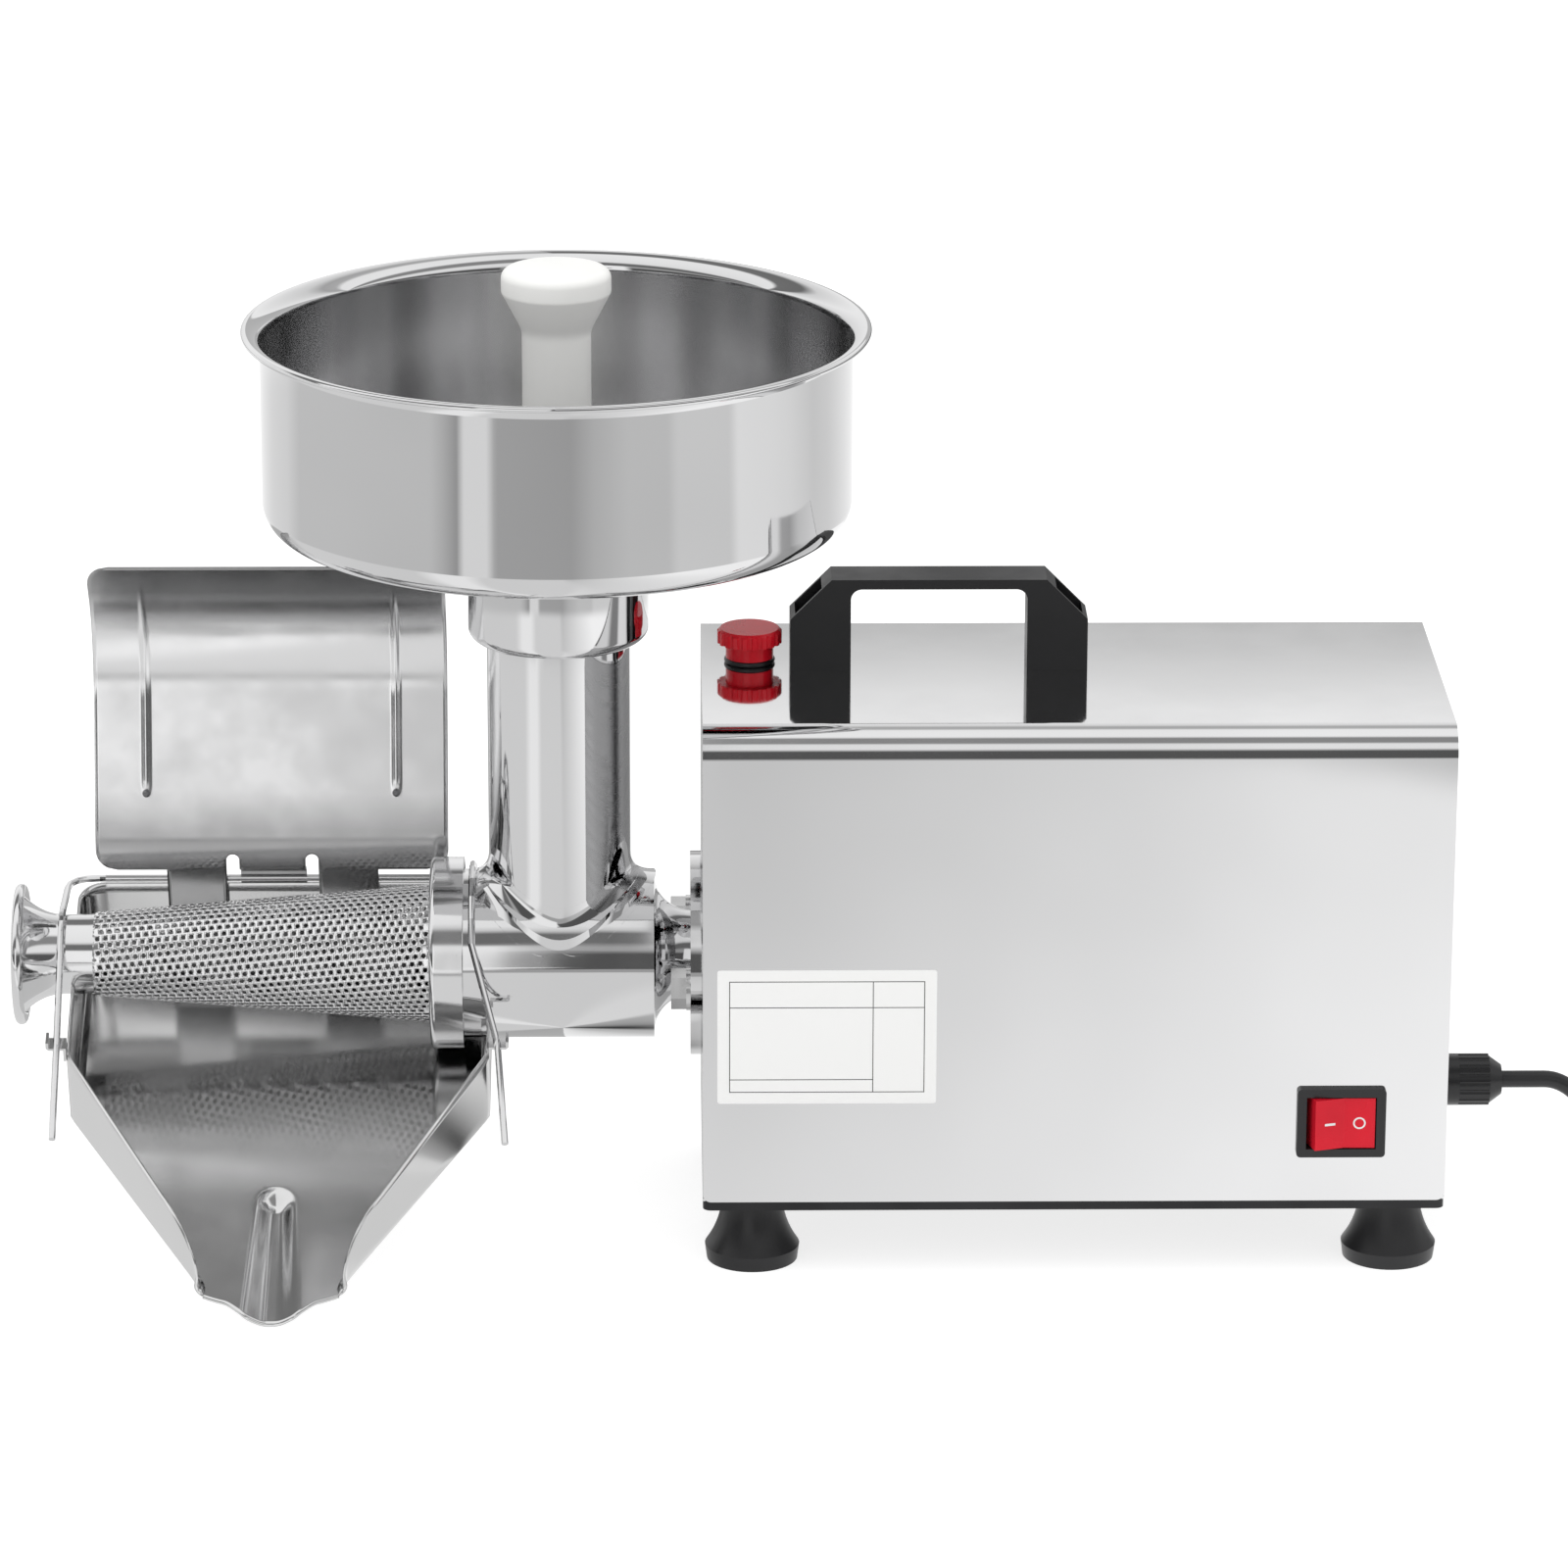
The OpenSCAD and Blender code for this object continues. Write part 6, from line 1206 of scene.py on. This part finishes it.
def guard_columns():
    """Places across the guard: even ones, and more round the slot and the rib. Past the edge zone they are
    shares of the way from there to the sheet's edge"""
    slot_start, slot_end = SLOT_MIDDLE - SLOT_HALF, SLOT_MIDDLE + SLOT_HALF
    rib_start, rib_end = RIB_MIDDLE - RIB_ZONE, RIB_MIDDLE + RIB_ZONE
    half = np.concatenate([
        np.linspace(0, slot_start, 9)[:-1],
        SLOT_MIDDLE + SLOT_HALF * np.cos(np.linspace(math.pi, 0, 13)),
        np.linspace(slot_end, TAB_EDGE, 15)[1:],
        np.linspace(TAB_EDGE, rib_start, 4)[1:-1],
        np.linspace(rib_start, rib_end, 17),
        np.linspace(rib_end, EDGE_ZONE, 7)[1:],
        EDGE_ZONE + np.linspace(0, 1, 6)[1:],
    ])
    return np.concatenate([-half[:0:-1], half])


def guard_grid(g, line, run, edge):
    """Grid of the sheet: rows follow the profile, columns spread to the outline with its round corners. The
    rows over the lower edge arch over the slots, and a cosine bead stands proud of the front for each rib"""
    columns = guard_columns()
    size = np.abs(columns)
    height = line[:, 1] - line[edge, 1]
    past = np.maximum(np.maximum(g.corner - height, height - (height[-1] - g.corner)), 0)
    round_corner = np.sqrt(np.maximum(g.corner ** 2 - np.minimum(past, g.corner) ** 2, 0))
    half = (g.width / 2 - g.corner + round_corner)[:, None]
    outer = EDGE_ZONE + (size - EDGE_ZONE) * (half - EDGE_ZONE)
    x = np.sign(columns) * np.where(size > EDGE_ZONE, outer, size)

    along = np.repeat(run[:, None], len(columns), 1)
    arch = np.sqrt(np.maximum(SLOT_HALF ** 2 - (size - SLOT_MIDDLE) ** 2, 0))
    lift = np.clip((run - SLOT_HEIGHT) / (EVEN_HEIGHT - SLOT_HEIGHT), 0, 1)[:, None]
    low = SLOT_HEIGHT + arch
    band = (run >= SLOT_HEIGHT - 0.01) & (run <= EVEN_HEIGHT + 0.01)
    along[band] = (low + lift * (EVEN_HEIGHT - low))[band]
    place = np.stack([np.interp(along, run, line[:, 0]), np.interp(along, run, line[:, 1])], -1)

    ahead = np.gradient(line, axis=0)
    ahead /= np.linalg.norm(ahead, axis=1, keepdims=True)
    front = np.stack([-ahead[:, 1], ahead[:, 0]], 1)
    start_fade, end_fade, narrowing, narrow_share, margin = 5.0, 26.0, 50.0, 0.55, 10.0
    left = run[-1] - margin - along
    fade = smooth_step((along - RIB_START) / start_fade) * smooth_step(left / end_fade)
    taper = narrow_share + (1 - narrow_share) * smooth_step((left + margin) / narrowing)
    across = np.clip((size - RIB_MIDDLE) / (g.rib / 2 * taper), -1, 1)
    bead = np.cos(across * math.pi / 2) ** 2 * fade * g.rib_height
    return np.concatenate([x[..., None], place + bead[..., None] * front[:, None]], -1)


def make_guard():
    """Splash guard: one sheet whose profile leans back, then swings over forward, with two tabs below it
    and two slots and two pressed ribs in it"""
    g, t = bpy.context.scene.press_guard, bpy.context.scene.press_tray
    line, run, edge = guard_profile(g)
    points = guard_grid(g, line, run, edge)
    rows, columns = points.shape[:2]
    size = np.abs(guard_columns())
    middle = (size[1:] + size[:-1]) / 2
    row = np.arange(rows - 1)[:, None]
    in_slot = np.abs(middle - SLOT_MIDDLE) < SLOT_HALF
    in_tab = (middle > SLOT_MIDDLE + SLOT_HALF) & (middle < TAB_EDGE)
    keep = (row >= edge) & ~((row < edge + round(SLOT_HEIGHT)) & in_slot) | (row < edge) & in_tab
    faces = grid_faces(rows, columns).reshape(rows - 1, columns - 1, 4)[keep]
    points = points.reshape(-1, 3)
    faces = wide_quads(points, faces)[:, ::-1]
    place = t.place + BAR_SHIFT
    piece("splash_guard_sheet", machine(points - [place, 0, 0]), faces, FINISHES["guard sheet"], "guard",
          ("splash_guard",), sharp=50, wall=g.sheet, closed=False)

    ball, sunk, up = 1.5, 0.5, 0.5
    points, faces = turned(arc(0, 0, ball, -90, 90, 13), 20, closed=False)
    y, z = (np.interp(RIB_START + up, run, line[:, axis]) for axis in (0, 1))
    balls = [(points + [side * RIB_MIDDLE - place, y - sunk, z], faces) for side in (-1, 1)]
    points, faces = joined(*balls)
    piece("rib_ends", machine(points), faces, FINISHES["zinc plate"], "guard", ())
    make_guard_clip(g, line[edge], SLOT_MIDDLE - SLOT_HALF)


def make_guard_clip(g, start, half):
    """Clip between the two slots: a strip from the plate's lower edge that lies on the tray's rear wall and
    hooks down behind it, an outline in (y, z) pulled along x"""
    t = bpy.context.scene.press_tray
    play, hook = 0.35, 12.0
    lean = np.array([math.sin(g.lean_back), math.cos(g.lean_back)])
    up, across = g.sheet * lean, g.sheet * np.array([lean[1], -lean[0]])
    top, behind = BAR_Z + 2.0, t.rear + play
    clip = [start + up, start, tray_point(behind, top), tray_point(behind, top - hook),
            tray_point(behind + g.sheet, top - hook), tray_point(behind + g.sheet, top + g.sheet),
            start + across, start + across + up]
    cut, inner_bend, foot, outer_bend = 0.05, 1.0, 0.3, 1.6
    radii = [cut, cut, inner_bend, foot, foot, outer_bend, cut, cut]
    points, faces = prism(rounded(clip, radii, 6), -half, half)
    points = machine(points - [t.place + BAR_SHIFT, 0, 0])
    piece("guard_clip", points, faces, FINISHES["guard sheet"], "guard", ())


def prism(profile, start, end):
    """A closed outline (y, z) pulled along x, with a flat face at each end"""
    count = len(profile)
    near = np.column_stack([np.full(count, start), profile])
    far = np.column_stack([np.full(count, end), profile])
    sides = [[i, (i + 1) % count, count + (i + 1) % count, count + i] for i in range(count)]
    return np.vstack([near, far]), sides + [list(range(count))[::-1], list(range(count, 2 * count))]


def join_lists(*parts):
    """Several surfaces whose faces are lists, as one"""
    count, points, faces = 0, [], []
    for p, f in parts:
        points.append(p)
        faces += [[i + count for i in face] for face in f]
        count += len(p)
    return np.vstack(points), faces


def make_label():
    """Blank label stuck on the front, a thin plate with small round corners"""
    s = bpy.context.scene.press_label
    corner, proud, gap = 0.6 * MM, 0.12 * MM, 0.01 * MM
    low, high = machine([s.left, 0, s.bottom]), machine([s.left + s.width, 0, s.bottom + s.height])
    corners = [[low[0], low[2]], [high[0], low[2]], [high[0], high[2]], [low[0], high[2]]]
    points, faces = prism(rounded(corners, corner, 5), HOUSING_LOW.y - proud, HOUSING_LOW.y - gap)
    piece("blank_label", points[:, [1, 0, 2]], faces, FINISHES["blank label"], "root", ())


def make_marks():
    """A dash and a ring, thin plates sunk in the rocker's two slanting halves: each half is turned from the
    frame's plate by half the throw, and runs from the dip in the middle to its raised edge"""
    half_throw = math.radians(8)
    pivot = machine([229.8, -65.0, 58.6])
    face, half = 9.4, 12.2
    c, s = math.cos(half_throw), math.sin(half_throw)
    reach = (half - face * s) / c
    dip = half * s / c

    def placed(points, side):
        """From (along the half, out of it, up) to the frame, turned about the pivot by half the throw"""
        along, out, up = np.asarray(points, float).T
        x, out = side * along, face - dip + dip * along / reach + out
        return pivot + np.stack([x * c + out * s, x * s - out * c, up], 1) * MM

    proud, sunk = 0.06, -0.1
    near, far, thick, corner = 3.4, 7.4, 0.45, 0.2
    dash = rounded([[near, -thick], [far, -thick], [far, thick], [near, thick]], corner, 4)
    points, faces = prism(dash, sunk, proud)
    piece("on_mark", placed(points[:, [1, 0, 2]], -1), faces, FINISHES["mark white"], "rocker", ())
    middle, bore, rim = 5.4, 1.65, 2.25
    ring = np.array([[bore, sunk], [bore, proud], [rim, proud], [rim, sunk]])
    points, faces = turned(ring, 48)
    points = points[:, [0, 2, 1]] + [middle, 0, 0]
    piece("off_mark", placed(points, 1), faces, FINISHES["mark white"], "rocker", ())


# Middle of the coil to the right of the press side, and height of the lower layer's middle line
COIL_X, COIL_LAYER = 381.0, 3.4


def cord_route(c):
    """Places along the cord, in millimetres: straight out of the gland, down on a cubic curve to the coil,
    inwards turn by turn, up one layer within half a turn, outwards again, and on a second curve to the
    plug"""
    gland = np.array([295.5, 0.0, 48.3])
    straight, lead_pull, coil_pull, tail_pull, plug_run, plug_height = 16.0, 21.0, 37.0, 18.0, 47.2, 19.3
    turns, per_turn = c.turns_in + c.turns_out, 60
    turn = np.linspace(0, turns, int(turns * per_turn) + 1)
    radius = coil_inside(c) + c.coil_step * np.abs(turn - c.turns_in)
    height = COIL_LAYER + c.coil_rise * smooth_step((turn - c.turns_in) * 2 + 0.5)
    angle = 2 * math.pi * turn
    loops = np.stack([COIL_X + radius * np.sin(angle), c.coil_radius - radius * np.cos(angle), height], 1)
    first, last = loops[0] - [c.diameter, 0, 0], loops[-1] + [0, c.diameter, 0]
    bend, plug = gland + [straight, 0, 0], np.array([last[0], last[1] + plug_run, plug_height])
    lead = bezier(bend, bend + [lead_pull, 0, 0], first - [coil_pull, 0, 0], first, 40)
    tail = bezier(last, last + [0, tail_pull, 0], plug - [0, tail_pull, 0], plug, 30)
    return np.vstack([gland + np.linspace(0, 1, 8)[:-1, None] * (bend - gland), lead, loops, tail])


def coil_inside(c):
    """Radius of the coil's innermost turn"""
    return c.coil_radius - c.coil_step * c.turns_in


def make_tie(c):
    """The cord's tie: a flat band with round corners round both layers of the coil, at one place of its
    turn; its outline (out of the coil, up) is carried along the turn for the band's width. The box and
    its hollow are each given by their lower side, upper side and corner radius"""
    middle, half, gap, wall = math.radians(205), 4.5, 0.8, 0.7
    box, hollow = (0.1, 14.2, 3.6), (0.02, 13.6, 3.0)
    across = np.array([math.sin(middle), -math.cos(middle), 0])
    along = np.array([math.cos(middle), math.sin(middle), 0])

    def outline(spare, low, high, corner):
        """Round cornered box that leaves the cord this much room"""
        near, far = coil_inside(c) - c.diameter / 2 - spare, c.coil_radius + c.diameter / 2 + spare
        return rounded([[near, low], [far, low], [far, high], [near, high]], corner, 8)

    outside, inside = outline(gap, *box), outline(gap - wall, *hollow)
    rings = [(outside, -half), (outside, half), (inside, half), (inside, -half)]
    centre = np.array([COIL_X, c.coil_radius, 0])
    points = np.stack([centre + line[:, :1] * across + line[:, 1:] * [0, 0, 1] + along * place
                       for line, place in rings])
    faces = grid_faces(*points.shape[:2], close_rows=True, close_columns=True)
    points = machine(points.reshape(-1, 3))
    return piece("cord_tie", points, faces, FINISHES["black moulding"], "root", ())


def make_cord():
    """Mains cord: one tube from the gland to the coil, through its turns in two layers, and on to the plug,
    held by a tie"""
    c = bpy.context.scene.press_cord
    route = cord_route(c)
    points, faces = swept(route, c.diameter / 2, 16, (0, 0, 1))
    cord = piece("mains_cord", machine(points), faces, FINISHES["cord rubber"], "root",
                 ("cord_lead", "cord_coil", "cord_tail"))
    tie = make_tie(c)


# Operators

class PRESS_OT_studio(bpy.types.Operator):
    """Sets up the camera, the room and the table"""
    bl_idname = "press.studio"
    bl_label = "Set up the studio"

    def execute(self, context):
        place_camera()
        light_the_room()
        hang_the_softbox()
        lay_table()
        return {"FINISHED"}


class PRESS_OT_cord(bpy.types.Operator):
    """Makes the finishes, then the mains cord with its coil and tie"""
    bl_idname = "press.cord"
    bl_label = "Lay the mains cord"

    def execute(self, context):
        mix_finishes()
        make_cord()
        return {"FINISHED"}


class PRESS_OT_solids(bpy.types.Operator):
    """Gives the solid parts their finishes"""
    bl_idname = "press.solids"
    bl_label = "Finish the solid parts"

    def execute(self, context):
        dress_solids()
        return {"FINISHED"}


class PRESS_OT_hopper(bpy.types.Operator):
    """Builds the hopper and the pusher"""
    bl_idname = "press.hopper"
    bl_label = "Build the hopper"

    def execute(self, context):
        make_hopper()
        make_pusher()
        return {"FINISHED"}


class PRESS_OT_cone(bpy.types.Operator):
    """Builds the perforated cone, the outlet and the fillet of the feed tube"""
    bl_idname = "press.cone"
    bl_label = "Build the screen cone"

    def execute(self, context):
        make_cone()
        make_cone_ends()
        make_outlet()
        make_joint()
        return {"FINISHED"}


class PRESS_OT_tray(bpy.types.Operator):
    """Builds the juice tray and the splash guard"""
    bl_idname = "press.tray"
    bl_label = "Build the tray"

    def execute(self, context):
        make_tray()
        make_tray_fittings()
        make_guard()
        return {"FINISHED"}


class PRESS_OT_marks(bpy.types.Operator):
    """Sticks the blank label on and marks the switch"""
    bl_idname = "press.marks"
    bl_label = "Add the label and the marks"

    def execute(self, context):
        make_label()
        make_marks()
        return {"FINISHED"}


class PRESS_PT_panel(bpy.types.Panel):
    """Sizes, colours and build steps of the tomato press"""
    bl_idname = "PRESS_PT_panel"
    bl_label = "Tomato press"
    bl_space_type = "VIEW_3D"
    bl_region_type = "UI"
    bl_category = "Tomato press"

    def draw(self, context):
        for name, group in SETTINGS.items():
            box = self.layout.box()
            box.label(text=group.__doc__.split(",")[0].split(".")[0])
            for key in group.__annotations__:
                box.prop(getattr(context.scene, name), key)
        for operator in OPERATORS:
            self.layout.operator(operator.bl_idname)


SETTINGS = {
    "press_studio": StudioSettings,
    "press_palette": PaletteSettings,
    "press_hopper": HopperSettings,
    "press_pusher": PusherSettings,
    "press_screen": ScreenSettings,
    "press_tray": TraySettings,
    "press_guard": GuardSettings,
    "press_cord": CordSettings,
    "press_label": LabelSettings,
}
OPERATORS = (PRESS_OT_studio, PRESS_OT_cord, PRESS_OT_solids, PRESS_OT_hopper, PRESS_OT_cone, PRESS_OT_tray,
             PRESS_OT_marks)


def register():
    """Makes the settings and the operators known to Blender"""
    for group in SETTINGS.values():
        bpy.utils.register_class(group)
    for name, group in SETTINGS.items():
        setattr(bpy.types.Scene, name, PointerProperty(type=group))
    for operator in OPERATORS + (PRESS_PT_panel,):
        bpy.utils.register_class(operator)


def unregister():
    """Takes them out again, in the opposite order"""
    for operator in reversed(OPERATORS + (PRESS_PT_panel,)):
        bpy.utils.unregister_class(operator)
    for name in SETTINGS:
        delattr(bpy.types.Scene, name)
    for group in reversed(list(SETTINGS.values())):
        bpy.utils.unregister_class(group)


def main():
    """Builds everything in order"""
    register()
    bpy.ops.press.studio()
    bpy.ops.press.cord()
    bpy.ops.press.solids()
    bpy.ops.press.hopper()
    bpy.ops.press.cone()
    bpy.ops.press.tray()
    bpy.ops.press.marks()


if __name__ == "__main__":
    main()
